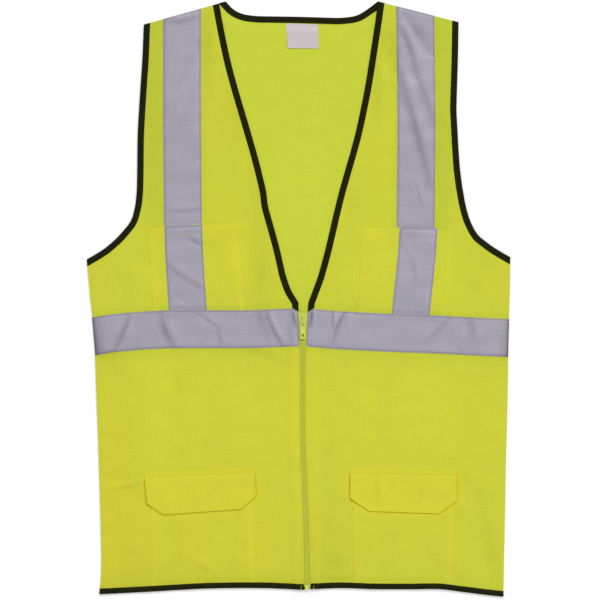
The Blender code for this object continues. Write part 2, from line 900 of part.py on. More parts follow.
def bottom_stop():
    width, length, thickness = STOP_SIZE
    x = x_at(ZIP_LINE, ZIP_BOTTOM)
    outline = box_outline(x, ZIP_BOTTOM + length / 2, width, length, 1.0)
    plate("zip_bottom_stop", outline, ON_FRONT, ON_FRONT + thickness, ZIP_PAINT)


def clear_scene():
    for thing in list(bpy.data.objects):
        bpy.data.objects.remove(thing, do_unlink=True)


def main():
    clear_scene()
    back_panel()
    back_tapes()
    fronts_and_what_is_on_them()
    bindings()
    label()
    zip_strips()
    slider()
    pull_tab()
    bottom_stop()


main()
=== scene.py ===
# %% [markdown]
# # A hi-vis safety vest, laid flat
#
# The real vest is two layers of thin knitted cloth, a back and two fronts that a zip joins. Grey reflective
# tape runs round it and over its shoulders, black binding edges it, and patch pockets lie on the fronts.
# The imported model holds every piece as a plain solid. Here each cloth piece becomes a thin sheet in the same
# place, with folds, seams and a weave. The zip's slider, tab and stop are right as they are and get paint.

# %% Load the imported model
import json
import math

import bpy
import numpy as np
from mathutils.geometry import delaunay_2d_cdt
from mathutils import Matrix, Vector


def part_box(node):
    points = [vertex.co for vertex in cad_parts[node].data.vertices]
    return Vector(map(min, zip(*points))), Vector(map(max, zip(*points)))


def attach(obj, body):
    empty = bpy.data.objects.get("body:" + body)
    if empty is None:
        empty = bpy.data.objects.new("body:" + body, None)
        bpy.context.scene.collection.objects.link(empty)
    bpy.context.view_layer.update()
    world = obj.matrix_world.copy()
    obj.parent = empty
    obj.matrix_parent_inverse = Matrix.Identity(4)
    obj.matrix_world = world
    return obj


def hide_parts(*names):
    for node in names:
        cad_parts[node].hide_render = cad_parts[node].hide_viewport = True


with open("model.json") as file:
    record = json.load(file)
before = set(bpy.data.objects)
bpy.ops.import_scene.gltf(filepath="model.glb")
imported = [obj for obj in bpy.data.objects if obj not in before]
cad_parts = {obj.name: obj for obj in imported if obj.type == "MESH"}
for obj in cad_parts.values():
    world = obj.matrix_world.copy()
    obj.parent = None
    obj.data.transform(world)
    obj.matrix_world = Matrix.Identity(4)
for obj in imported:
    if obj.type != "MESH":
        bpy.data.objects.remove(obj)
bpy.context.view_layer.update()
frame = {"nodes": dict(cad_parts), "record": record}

# %% [markdown]
# ## Camera, floor and light
#
# A garment on a table is looked at from straight above. A long lens from two metres up keeps its edges
# parallel. The floor and the world look white to the camera only, so that a pale background costs no extra
# light on the cloth. The sky gives most of the light and a wide sun from the neck's side gives the rest, and
# together they show a colour about as it is written. The low sun is what makes soft folds readable.

# %% Camera
MM = 0.001
VIEW_SIDE = 0.8076  # side of the square that the camera sees, in metres
VIEW_MIDDLE = (0.0020, -0.0010, 0.004)
LENS, SENSOR = 100, 36

camera = bpy.data.objects.new("camera", bpy.data.cameras.new("camera"))
camera.data.lens, camera.data.sensor_width = LENS, SENSOR
rise = VIEW_SIDE * LENS / SENSOR
camera.location = (VIEW_MIDDLE[0], VIEW_MIDDLE[1], VIEW_MIDDLE[2] + rise)
bpy.context.scene.collection.objects.link(camera)
bpy.context.scene.camera = camera
bpy.context.scene.view_settings.view_transform = "Standard"
print("camera height", round(camera.location.z, 3), "m")


# %% A helper that makes a shader node and fills in its sockets
def node(tree, kind, sockets=(), **settings):
    made = tree.nodes.new(kind)
    for key, value in settings.items():
        setattr(made, key, value)
    for name, value in dict(sockets).items():
        if isinstance(value, bpy.types.NodeSocket):
            tree.links.new(value, made.inputs[name])
        else:
            made.inputs[name].default_value = value
    return made


def maths(tree, operation, *values):
    """The result of a Math node."""
    return node(tree, "ShaderNodeMath", enumerate(values), operation=operation).outputs[0]


def seen_directly(tree):
    """1 where the camera sees a surface, also in a mirror or through glass."""
    path = node(tree, "ShaderNodeLightPath")
    total = maths(tree, "ADD", path.outputs["Is Camera Ray"], path.outputs["Is Glossy Ray"])
    return maths(tree, "MINIMUM", maths(tree, "ADD", total, path.outputs["Is Transmission Ray"]), 1.0)


print("helpers for shader nodes are ready")

# %% World and sun
SKY_LIGHT = 0.62
SUN_LIGHT = 0.40  # share of a flat surface's light that comes from the sun
SUN_TURN = (42, 0, 158)  # degrees: from overhead towards the horizon, then round
SUN_WIDTH = 28  # degrees: a wide sun has soft shadows

world = bpy.data.worlds.new("studio")
world.use_nodes = True
tree = world.node_tree
tree.nodes.clear()
dim = node(tree, "ShaderNodeBackground", {"Color": (1, 1, 1, 1), "Strength": SKY_LIGHT})
white = node(tree, "ShaderNodeBackground", {"Color": (1, 1, 1, 1), "Strength": 1.0})
mixed = node(tree, "ShaderNodeMixShader", {0: seen_directly(tree), 1: dim.outputs[0], 2: white.outputs[0]})
node(tree, "ShaderNodeOutputWorld", {"Surface": mixed.outputs[0]})
bpy.context.scene.world = world

sun = bpy.data.objects.new("sun", bpy.data.lights.new("sun", "SUN"))
sun.data.energy = SUN_LIGHT * math.pi / math.cos(math.radians(SUN_TURN[0]))
sun.data.angle = math.radians(SUN_WIDTH)
sun.rotation_euler = [math.radians(angle) for angle in SUN_TURN]
bpy.context.scene.collection.objects.link(sun)
print("sun energy", round(sun.data.energy, 2))

# %% Floor
FLOOR_DROP = 0.2  # millimetres below the vest
FLOOR_GLOW = 0.26  # what the camera sees on top of the light that falls there

bpy.ops.object.select_all(action="DESELECT")
bpy.ops.mesh.primitive_grid_add(x_subdivisions=8, y_subdivisions=8, size=8)
floor = bpy.context.object
floor.name = "floor"
floor.data.transform(floor.matrix_world)
for vertex in floor.data.vertices:
    vertex.co.z -= FLOOR_DROP * MM
paint = bpy.data.materials.new("floor")
paint.use_nodes = True
tree = paint.node_tree
tree.nodes.clear()
shade = node(tree, "ShaderNodeBsdfDiffuse", {"Color": (0.8, 0.8, 0.8, 1)})
glow_strength = maths(tree, "MULTIPLY", seen_directly(tree), FLOOR_GLOW)
glow = node(tree, "ShaderNodeEmission", {"Color": (1, 1, 1, 1), "Strength": glow_strength})
both = node(tree, "ShaderNodeAddShader", {0: shade.outputs[0], 1: glow.outputs[0]})
node(tree, "ShaderNodeOutputMaterial", {"Surface": both.outputs[0]})
floor.data.materials.append(paint)
print("floor", [round(side, 1) for side in floor.dimensions])

# %% [markdown]
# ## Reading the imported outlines
#
# A cloth piece is cut from a pattern, and its pattern is its outline. Each packed sheet is loose triangles,
# so the outline is the border of those that face up. Its points are about 17 mm apart, which is coarse for
# a cut edge. A smooth curve through them, kept sharp at true corners, gives the edge that scissors leave.


# %% The border of a packed sheet, seen from above
GRAIN = 0.01  # corners of triangles closer than this are one point, in millimetres


def plan_outline(name):
    """Points of the outline in order, anticlockwise, in millimetres."""
    mesh = frame["nodes"][name].data
    mesh.calc_loop_triangles()
    known, place = {}, []
    for vertex in mesh.vertices:
        key = tuple(round(value / (GRAIN * MM)) for value in vertex.co)
        place.append(known.setdefault(key, len(known)))
    spots, border = list(known), set()
    for triangle in mesh.loop_triangles:
        if triangle.normal.z > 0.5:
            a, b, c = (place[i] for i in triangle.vertices)
            for edge in ((a, b), (b, c), (c, a)):
                if edge[::-1] in border:
                    border.discard(edge[::-1])
                else:
                    border.add(edge)
    following = dict(border)
    first = spot = min(following)
    loop = []
    while spot not in loop:
        loop.append(spot)
        spot = following[spot]
    assert spot == first
    return np.array([spots[i][:2] for i in loop]) * GRAIN


def unit(vector):
    return vector / max(np.linalg.norm(vector), 1e-9)


def sides_of(name, step=3.0, corner=40.0):
    """The outline's sides, each a smooth line of points from one true corner to the next.

    A true corner turns by more than the given number of degrees."""
    loop = plan_outline(name)
    count = len(loop)
    ahead = [unit(loop[(i + 1) % count] - loop[i]) for i in range(count)]
    sharp = [ahead[i] @ ahead[i - 1] < math.cos(math.radians(corner)) for i in range(count)]
    sides = []
    first = sharp.index(True)
    for i in [(first + k) % count for k in range(count)]:
        start, end = loop[i], loop[(i + 1) % count]
        length = np.linalg.norm(end - start)
        leave = ahead[i] if sharp[i] else unit(end - loop[i - 1])
        arrive = ahead[i] if sharp[(i + 1) % count] else unit(loop[(i + 2) % count] - start)
        t = np.linspace(0, 1, max(1, round(length / step)) + 1)[:, None]
        stretch = start * (2 * t**3 - 3 * t**2 + 1) + leave * length * (t**3 - 2 * t**2 + t)
        stretch += end * (3 * t**2 - 2 * t**3) + arrive * length * (t**3 - t**2)
        if sharp[i]:
            sides.append(stretch)
        else:
            sides[-1] = np.concatenate([sides[-1], stretch[1:]])
    return sides


def joined(sides):
    """The sides as one closed outline."""
    return np.concatenate([side[:-1] for side in sides])


print("belt sides:", [len(side) for side in sides_of("belt_tape_right")])


# %% Distances in plan
def measure(points, line, reach=np.inf):
    """For each point: how far along the line its nearest spot is, and how far left of the line it lies.

    Beyond the reach a point counts as infinitely far away, which saves time."""
    x, y = points.T
    best, across = np.full(len(points), np.inf), np.full(len(points), np.inf)
    along = np.zeros(len(points))
    passed = 0.0
    for a, b in zip(line[:-1], line[1:]):
        (x0, y0), (x1, y1) = np.minimum(a, b) - reach, np.maximum(a, b) + reach
        near = np.flatnonzero((x > x0) & (x < x1) & (y > y0) & (y < y1))
        run = b - a
        length = max(np.linalg.norm(run), 1e-6)
        to = points[near] - a
        t = np.clip(to @ run / length**2, 0, 1)
        gap = np.hypot(*(to - t[:, None] * run).T)
        nearer = gap < best[near]
        near, to, t, gap = near[nearer], to[nearer], t[nearer], gap[nearer]
        best[near] = gap
        along[near] = passed + t * length
        across[near] = np.where(run[0] * to[:, 1] >= run[1] * to[:, 0], gap, -gap)
        passed += length
    return along, across


REACH = 25.0  # nothing at an edge is felt further off


def distance(points, *lines, reach=REACH):
    """Distance to the nearest of the lines, or infinity beyond the reach."""
    return np.min([np.abs(measure(points, line, reach)[1]) for line in lines], axis=0)


def fade(value, full, zero):
    """1 at full and beyond, 0 at zero and beyond, and smooth in between."""
    t = np.clip((zero - value) / (zero - full), 0, 1)
    return t * t * (3 - 2 * t)


def bell(value, reach):
    """1 at zero, fading smoothly on both sides."""
    return np.exp(-((value / reach) ** 2))


def moved(line, offset):
    """The line moved to its own left."""
    along = np.gradient(line, axis=0)
    along /= np.linalg.norm(along, axis=1)[:, None]
    return line + np.stack([-along[:, 1], along[:, 0]], axis=1) * offset


def even(line, step=None, count=None):
    """The line again, with evenly spaced points."""
    passed = np.concatenate([[0], np.cumsum(np.hypot(*np.diff(line, axis=0).T))])
    spots = np.linspace(0, passed[-1], count or max(2, round(passed[-1] / step) + 1))
    return np.stack([np.interp(spots, passed, line[:, k]) for k in range(2)], axis=1)


print("fade and bell at 2 mm of 4:", float(fade(2, 0, 4)), round(float(bell(2, 4)), 2))

# %% [markdown]
# ## How the cloth lies
#
# Everything on a front is sewn to it, so all its layers rise and fall together, and one height function
# serves them all. It adds up the broad swells of a garment that isn't ironed, the ridge over the zip's tape,
# the dip to the side seams, and creases. A crease is a trough with a ridge beside it, because cloth that
# is pushed down has to go somewhere. Real creases differ in length, depth and spacing, so each is listed one
# by one. A simulation would crumple a lying sheet at random, and these have to be in their own places.

# %% Broad folds, as the imported fronts have them
FOLD_COLUMNS = ("x", "y", "heading", "length", "width", "height")
FOLDS = [
    (-188, -190, 88, 260, 130, 2.2),
    (-95, -160, 96, 200, 120, 1.6),
    (-150, 250, 93, 190, 110, 1.4),
    (-80, 40, 60, 120, 80, 1.6),
    (-185, -42, 55, 90, 60, 1.0),
    (178, -180, 92, 250, 130, 2.0),
    (95, -150, 84, 190, 110, 1.4),
    (140, 230, 80, 220, 100, 1.6),
    (140, 20, 100, 120, 100, 1.2),
]


def swell(value, half):
    """A soft hump, 1 in the middle and 0 past the half width."""
    return 0.5 + 0.5 * np.cos(np.pi * np.minimum(1, np.abs(value) / half))


def folds(points):
    total = np.zeros(len(points))
    for row in FOLDS:
        fold = dict(zip(FOLD_COLUMNS, row))
        heading = math.radians(fold["heading"])
        forward = np.array([math.cos(heading), math.sin(heading)])
        to = points - (fold["x"], fold["y"])
        along, across = to @ forward, to @ (-forward[1], forward[0])
        total += fold["height"] * swell(along, fold["length"] / 2) * swell(across, fold["width"] / 2)
    return total


print("highest fold:", round(float(folds(np.array([row[:2] for row in FOLDS])).max()), 2), "mm")

# %% Creases, one by one: three points of the trough, width, depth, and how much ridge lies to its left
CREASES = [
    # belt, wearer's right
    (-227.5, -22.5, -237.5, -49, -250.5, -73.5, 3.4, 1.2, 0.8),
    (-214.5, -47, -217.5, -56, -221.5, -67, 2.2, 0.35, -0.5),
    (-185, -21, -180, -41.5, -167, -67, 5.4, 1.2, 0.8),
    (-176.5, -16, -176, -24, -175, -32, 1.8, 0.35, 0.5),
    (-135.5, -20, -123, -28.5, -111, -37.5, 2.8, 0.5, 0.7),
    (-112.5, -35.5, -107.5, -45.5, -105, -64.5, 3.6, 0.6, 0.6),
    (-101.5, -59.5, -95, -61.5, -88, -61, 2.4, 0.3, 0.5),
    (-43.5, -12, -39, -32, -21, -64.5, 3.2, 1.0, 0.8),
    (-58, -14, -50, -28, -36.5, -48.5, 7.0, 0.8, 0.5),
    (-7.5, -15, -6.0, -26, -3.5, -37, 2.0, 0.4, 0.9),
    # belt, wearer's left
    (18.0, -14, 16.8, -26, 15.0, -38, 2.0, 0.5, -0.9),
    (46, -13, 45.5, -24, 45.5, -37.5, 1.5, 0.9, 0.6),
    (67.5, -13, 54, -33.5, 46, -60, 2.8, 1.2, -0.8),
    (77.5, -15, 77.5, -18.5, 77.5, -22.5, 1.4, 0.5, 0.4),
    (202, -20, 193, -37.5, 170.5, -59, 3.8, 0.6, -0.7),
    (227, -28, 233.5, -42.5, 232, -57.5, 5.5, 0.7, 0.7),
    (213.5, -64.5, 217.5, -68.5, 221.5, -72.5, 2.2, 0.45, 0.5),
    # shoulder tape, wearer's left, and the cloth beside it
    (142, 384, 159.5, 357, 177, 330, 7.0, 0.6, -0.8),
    (136.5, 365, 151.5, 330, 158, 295, 4.6, 0.8, 0.7),
    (154, 311.5, 167.5, 276.5, 182.5, 232, 7.0, 0.75, 0.7),
    (134, 308.5, 153, 244, 177, 148.5, 6.0, 1.15, 0.7),
    (134.5, 290, 137.5, 273, 142.5, 251.5, 4.6, 0.6, 0.6),
    (158, 155, 162, 137.5, 167.5, 121.5, 2.4, 0.4, 0.6),
    (143.5, 160.5, 148.5, 147, 155.5, 131, 2.6, 0.3, -0.6),
    (112, 374, 125, 343, 134.5, 285, 3.6, 0.95, -1.4),
    (97.5, 341, 105.5, 310, 108.5, 280.5, 6.0, 0.4, -0.6),
    # shoulder tape, wearer's right
    (-180, 376, -162, 372, -140, 379, 4.6, 0.6, 0.5),
    (-142, 327.5, -154, 303, -167.5, 279, 5.0, 0.25, 0.6),
    (-143.5, 279, -151.5, 252, -159.5, 230.5, 6.0, 0.25, -0.6),
    (-177, 117.5, -154, 118, -128.5, 121, 3.4, 0.5, 0.7),
    # pocket tapes
    (-148, 82.5, -140, 77, -128.5, 73.5, 3.6, 0.7, 0.7),
    (-175.5, 45, -159.5, 31.5, -128.5, 12.5, 4.6, 0.65, 0.8),
    (-171.5, 11, -162, 3, -151.5, -5, 3.4, 0.25, -0.7),
    (139.5, 70.5, 151.5, 50, 158, 20.5, 4.0, 0.3, 0.6),
    # fronts: from the V, the pockets and the seams
    (-62, 170, -52, 110, -58, 40, 12.0, 0.7, 0.6),
    (-48, 60, -52, 28, -62, 4, 6.0, 0.6, -0.8),
    (-96, 300, -84, 240, -92, 180, 14.0, 0.6, 0.5),
    (60, 150, 72, 110, 70, 60, 11.0, 0.5, -0.6),
    (-246, -258, -228, -253, -207, -247, 2.6, 0.9, 0.9),
    (-262, -240, -240, -244, -222, -243, 5.0, 0.5, -0.6),
    (-66, -71, -36, -79, -12, -92, 6.5, 0.7, 0.8),
    (-62, -70, -66, -90, -60, -118, 7.0, 0.3, -0.6),
    (-139, -357, -124, -366, -112, -374, 4.5, 0.6, 0.8),
    (-94, -338, -91, -356, -93, -374, 3.0, 0.4, 0.7),
    (29, -373, 48, -377, 70, -374, 3.0, 0.7, 0.8),
    (177, -344, 190, -356, 204, -371, 7.0, 0.5, 0.6),
    (240, -250, 255, -320, 266, -382, 8.0, 0.6, 0.7),
    (-232, -150, -246, -250, -240, -350, 18.0, 0.3, -0.6),
    (-150, -100, -158, -170, -148, -225, 15.0, 0.6, 0.6),
    (216, -90, 226, -180, 214, -262, 17.0, 0.3, 0.7),
    (120, -90, 112, -150, 118, -215, 15.0, 0.5, -0.6),
    (38, -160, 44, -230, 36, -330, 10.0, 0.4, 0.6),
    (255, 40, 238, 20, 232, -10, 9.0, 0.5, 0.6),
    (-250, 40, -236, 16, -230, -10, 9.0, 0.5, -0.6),
    # hip pockets and flaps
    (104, -238, 106, -258, 105, -276, 4.6, 0.8, 0.7),
    (114, -234, 118, -255, 116, -270, 3.0, 0.4, -0.6),
    (127, -234, 128, -250, 126, -268, 4.0, 0.3, 0.7),
    (166, -246, 162, -260, 161, -280, 4.2, 0.5, -0.7),
    (-150, -236, -146, -256, -150, -276, 6.0, 0.3, 0.6),
    (-170, -300, -160, -340, -172, -380, 9.0, 0.5, 0.6),
    (110, -300, 118, -340, 108, -384, 9.0, 0.5, -0.6),
]


STEEP, GENTLE = 0.7, 1.25  # a trough's reach towards its ridge and away from it, in widths
RIDGE_PLACE, RIDGE_REACH = 1.5, 1.1  # from the trough to the ridge, and the ridge's reach, in widths


def crease_profile(points, rows):
    """(height, hollow): how far the creases move the cloth, and how deep in a trough each point is."""
    height, hollow = np.zeros(len(points)), np.zeros(len(points))
    bends = np.linspace(0, 1, 9)[:, None]
    for row in rows:
        x1, y1, x2, y2, x3, y3, width, depth, left = row
        first, middle, last = np.array([x1, y1]), np.array([x2, y2]), np.array([x3, y3])
        line = (1 - bends) * (1 - 2 * bends) * first + 4 * bends * (1 - bends) * middle
        line = line + bends * (2 * bends - 1) * last
        near = np.flatnonzero(
            np.all((points > line.min(0) - 4 * width) & (points < line.max(0) + 4 * width), axis=1)
        )
        if not len(near):
            continue
        length = np.hypot(*np.diff(line, axis=0).T).sum()
        along, across = measure(points[near], line)
        before = (points[near] - line[0]) @ unit(line[0] - line[1])
        after = (points[near] - line[-1]) @ unit(line[-1] - line[-2])
        t = along / length
        # shallower towards its ends, and a little uneven
        taper = (0.4 + 0.6 * np.sin(np.pi * t)) * (0.9 + 0.1 * np.sin(9 * t + x1))
        taper *= np.exp(-(np.maximum(0, before) ** 2 + np.maximum(0, after) ** 2) / width**2)
        towards_ridge = across * math.copysign(1, left)
        trough = bell(towards_ridge, np.where(towards_ridge > 0, STEEP * width, GENTLE * width))
        ridge = bell(towards_ridge - RIDGE_PLACE * width, RIDGE_REACH * width)
        height[near] += depth * taper * (abs(left) * ridge - trough)
        hollow[near] = np.maximum(hollow[near], depth * taper * trough)
    return height, hollow


print(len(CREASES), "creases")

# %% Lines that shape all layers of the fronts
LAYER = 1.35  # from one packed layer to the next, in millimetres
RIDGE_FULL, RIDGE_END = 12.5, 21.0  # from the zip's middle: raised up to here, back down there
TAPE_TO_MIDDLE = 0.2  # from the right zip tape's inner edge to the zip's middle

right_tape_sides, left_tape_sides = sides_of("zip_tape_right"), sides_of("zip_tape_left")
inner = min(right_tape_sides, key=lambda side: distance(side, *left_tape_sides).mean())
zip_line = even(inner + (TAPE_TO_MIDDLE, 0), step=6)
zip_line = zip_line[np.argsort(-zip_line[:, 1])]
front_sides = {side: sides_of(f"front_panel_{side}") for side in ("right", "left")}
side_seams = {
    "right": even(min(front_sides["right"], key=lambda line: line[:, 0].mean()), step=12),
    "left": even(max(front_sides["left"], key=lambda line: line[:, 0].mean()), step=12),
}


def zip_x(y):
    """Where the zip's middle lies, as it wanders a little."""
    return np.interp(-y, -zip_line[:, 1], zip_line[:, 0])


def long_sides(name, shortest=45):
    """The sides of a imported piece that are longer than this."""
    return [side for side in sides_of(name) if np.hypot(*np.diff(side, axis=0).T).sum() > shortest]


seams = []
for side in ("right", "left"):
    for name in ("neck_binding", "armhole_binding_front", "hem_binding", "belt_tape", "shoulder_tape"):
        seams += [even(line, step=9) for line in long_sides(f"{name}_{side}", 100)]
print(len(zip_line), "points along the zip,", len(seams), "seams that pucker the cloth")

# %% The height of the fronts over their flat place
RIPPLE, PUCKER = 0.07, 0.10  # heights in millimetres
SEAM_PINCH = 0.8  # how far the side seams are pulled down
waves = np.random.default_rng(7)
WAVES = [
    (2 * math.pi / waves.uniform(24, 85), waves.uniform(0, math.pi), waves.uniform(0, 6.3))
    for _ in range(14)
]


def ripples(points):
    """Slight unevenness that no cloth is without."""
    total = np.zeros(len(points))
    for rate, heading, phase in WAVES:
        total += RIPPLE * np.sin(rate * (points @ (math.cos(heading), math.sin(heading))) + phase)
    return total


def puckers(points):
    """Thread pulls the cloth together, which leaves short ripples across a seam."""
    total = np.zeros(len(points))
    for line in seams:
        along, across = measure(points, line, REACH)
        wave = np.sin(along / 1.9 + 2.2 * np.sin(along / 17)) * (0.6 + 0.4 * np.sin(along / 31))
        total += PUCKER * np.exp(-np.abs(across) / 6) * wave
    return total


def lift(points):
    """How far all the layers of the fronts rise over their flat place."""
    off = np.abs(points[:, 0] - zip_x(points[:, 1]))
    ridge = LAYER * fade(off, RIDGE_FULL, RIDGE_END) * fade(points[:, 1], -17, -6)
    pinch = SEAM_PINCH * fade(distance(points, *side_seams.values()), 0, 8)
    creases = crease_profile(points, CREASES)[0]
    return folds(points) + ridge - pinch + creases + ripples(points) + puckers(points)


print("lift by the zip:", round(float(lift(np.array([[16.0, -150.0]]))[0]), 2), "mm")

# %% [markdown]
# ## Cloth finishes
#
# Warp knit, reflective tape, woven binding and a label are all threads that cross at a small pitch, so one
# node group draws them all. It reads the piece's own UV map, which is laid out in metres, and so the thread
# follows the cut and keeps its true size. It puts out a height for the bump and a shade for the colour. The
# knit is so thin that its colour changes where two layers lie together, such as at hems and pocket edges.
# That, and painted light and shade such as the darker hollows of the creases, come from two values stored on
# the mesh.


# %% A group that draws threads
def build_threads():
    group = bpy.data.node_groups.new("threads", "ShaderNodeTree")
    sockets = group.interface
    for name, kind, value in (
        ("Vector", "NodeSocketVector", None),
        ("Across", "NodeSocketFloat", 1.2),  # pitch in millimetres
        ("Along", "NodeSocketFloat", 1.2),
        ("Zigzag", "NodeSocketFloat", 0.6),
        ("Streaks", "NodeSocketFloat", 0.5),
    ):
        made = sockets.new_socket(name, in_out="INPUT", socket_type=kind)
        if value is not None:
            made.default_value = value
    for name in ("Height", "Shade"):
        sockets.new_socket(name, in_out="OUTPUT", socket_type="NodeSocketFloat")
    given = group.nodes.new("NodeGroupInput").outputs
    in_mm = node(group, "ShaderNodeVectorMath", {0: given["Vector"], "Scale": 1000.0}, operation="SCALE")
    split = node(group, "ShaderNodeSeparateXYZ", {0: in_mm.outputs[0]})
    u = maths(group, "DIVIDE", split.outputs[0], given["Across"])
    v = maths(group, "DIVIDE", split.outputs[1], given["Along"])
    course = maths(group, "SINE", maths(group, "MULTIPLY", v, 2 * math.pi))
    lean = maths(group, "MULTIPLY", course, given["Zigzag"])
    rib = maths(group, "ABSOLUTE", maths(group, "SINE", maths(group, "MULTIPLY_ADD", u, math.pi, lean)))
    loop = maths(group, "MULTIPLY_ADD", maths(group, "ABSOLUTE", course), 0.35, 0.65)
    height = maths(group, "MULTIPLY", rib, loop)
    total = 0.0
    for scale in ((0.03, 0.75, 1), (0.6, 0.04, 1), (0.3, 0.45, 1)):  # uneven yarns, then uneven cloth
        scaled = {0: in_mm.outputs[0], 1: scale}
        stretched = node(group, "ShaderNodeVectorMath", scaled, operation="MULTIPLY")
        grainy = {"Vector": stretched.outputs[0], "Scale": 1.0, "Detail": 2.0}
        noise = node(group, "ShaderNodeTexNoise", grainy)
        total = maths(group, "ADD", noise.outputs["Fac"], total)
    streak = maths(group, "MULTIPLY", maths(group, "SUBTRACT", total, 1.5), given["Streaks"])
    shade = maths(group, "ADD", maths(group, "MULTIPLY_ADD", height, 0.16, 0.93), streak)
    node(group, "NodeGroupOutput", {"Height": height, "Shade": shade})
    return group


threads = build_threads()
print("group", threads.name, "with", len(threads.nodes), "nodes")


# %% A cloth material
def cloth(name, colour, across, along, zigzag=0.0, streaks=0.1, rough=0.85, depth=0.12,
          double=None, gold=None, metallic=0.0, specular=0.12, sheen=0.06):
    """Threads of the given pitches in millimetres, standing out by the depth.

    Double is the colour of two layers, and gold is the painted colour of a shadow where light is caught
    between layers."""
    material = bpy.data.materials.new(name)
    material.use_nodes = True
    tree = material.node_tree
    shader = tree.nodes["Principled BSDF"]
    where = node(tree, "ShaderNodeUVMap", uv_map="cut")
    drawn = node(tree, "ShaderNodeGroup", node_tree=threads)
    for socket, value in (("Across", across), ("Along", along), ("Zigzag", zigzag), ("Streaks", streaks)):
        drawn.inputs[socket].default_value = value
    tree.links.new(where.outputs[0], drawn.inputs["Vector"])
    painted_light_and_tone = node(tree, "ShaderNodeAttribute", attribute_name="painted_light_and_tone").outputs["Fac"]
    layers = node(tree, "ShaderNodeAttribute", attribute_name="double").outputs["Fac"]
    mix = node(tree, "ShaderNodeMix", data_type="RGBA")
    tree.links.new(layers, mix.inputs["Factor"])
    mix.inputs["A"].default_value = (*colour, 1)
    mix.inputs["B"].default_value = (*(double or colour), 1)
    # a stored value above 1 turns the colour to the gold of a painted shadow
    gilt = node(tree, "ShaderNodeMix", data_type="RGBA")
    tree.links.new(maths(tree, "SUBTRACT", layers, 1.0), gilt.inputs["Factor"])
    tree.links.new(mix.outputs["Result"], gilt.inputs["A"])
    gilt.inputs["B"].default_value = (*(gold or double or colour), 1)
    # the painted light and shade stored on the mesh scales the colour
    light = maths(tree, "MULTIPLY", drawn.outputs["Shade"], maths(tree, "ADD", painted_light_and_tone, 1.0))
    colours = {0: gilt.outputs["Result"], "Scale": light}
    final = node(tree, "ShaderNodeVectorMath", colours, operation="SCALE")
    tree.links.new(final.outputs[0], shader.inputs["Base Color"])
    roughness = maths(tree, "MULTIPLY_ADD", drawn.outputs["Height"], -0.08, rough)
    tree.links.new(roughness, shader.inputs["Roughness"])
    relief = {"Height": drawn.outputs["Height"], "Strength": 0.6, "Distance": depth * MM}
    bump = node(tree, "ShaderNodeBump", relief)
    tree.links.new(bump.outputs[0], shader.inputs["Normal"])
    shader.inputs["Metallic"].default_value = metallic
    shader.inputs["Specular IOR Level"].default_value = specular
    shader.inputs["Sheen Weight"].default_value = sheen
    return material


KNIT = {"across": 1.25, "along": 0.95, "zigzag": 0.55}
# gold is the painted colour of the shadow beside a flap's free edges
KNIT.update(double=(0.650, 0.612, 0.036), gold=(0.600, 0.540, 0.018))
SMOOTH = {"rough": 0.5, "depth": 0.05, "metallic": 0.25, "specular": 0.4, "sheen": 0.0}
DULL = {"depth": 0.15, "specular": 0.07, "sheen": 0.02}
SATIN = {"rough": 0.55, "depth": 0.04, "specular": 0.4}
finishes = {
    "knit": cloth("hi-vis knit", (0.530, 0.588, 0.040), **KNIT),
    "knit_inside": cloth("hi-vis knit inside", (0.556, 0.620, 0.043), **KNIT),
    "reflective_tape": cloth("reflective tape", (0.330, 0.308, 0.376), 0.7, 0.7, streaks=0.17, **SMOOTH),
    "binding": cloth("black binding", (0.0098, 0.0114, 0.0008), 0.9, 1.1, streaks=0.25, **DULL),
    "zip_cloth": cloth("zip tape", (0.56, 0.59, 0.038), 0.8, 1.2, zigzag=0.9, streaks=0.12, depth=0.1),
    "label": cloth("label satin", (0.535, 0.487, 0.508), 0.35, 0.5, streaks=0.05, **SATIN),
}
finishes["knit_double"] = finishes["knit"]
print("cloth finishes:", ", ".join(finishes))

# %% [markdown]
# ## Sheets
#
# A piece of cloth is an outline filled with small triangles, with a thin wall. Rows of points run beside the
# cut edge, because that is where cloth bends most, and a staggered grid fills the rest, so that folds can
# run in any direction. The underside is laid on what is beneath, and the upper side is a wall's thickness
# above it. Where a piece is sewn down its edge is pulled onto the layer below, and away from the seam it
# stands a little proud, which is what makes sewn cloth look soft.


# %% Filling an outline
RINGS = (0.7, 1.7, 3.2)  # rows beside the cut edge, in millimetres
NEARLY = 0.93  # a row's points stay this share of its depth away from every edge
ROOM = 0.4  # share of the grid that stays free between its points and the rows


def inside(points, outline):
    """Which points lie within the outline."""
    ranks = np.argsort(points[:, 1])
    x, y = points[ranks].T
    found = np.zeros(len(points), bool)
    for a, b in zip(outline, np.roll(outline, -1, axis=0)):
        first, last = np.searchsorted(y, sorted((a[1], b[1])))
        if first < last:
            here = slice(first, last)
            found[here] ^= x[here] < a[0] + (b[0] - a[0]) * (y[here] - a[1]) / (b[1] - a[1])
    result = np.empty(len(points), bool)
    result[ranks] = found
    return result


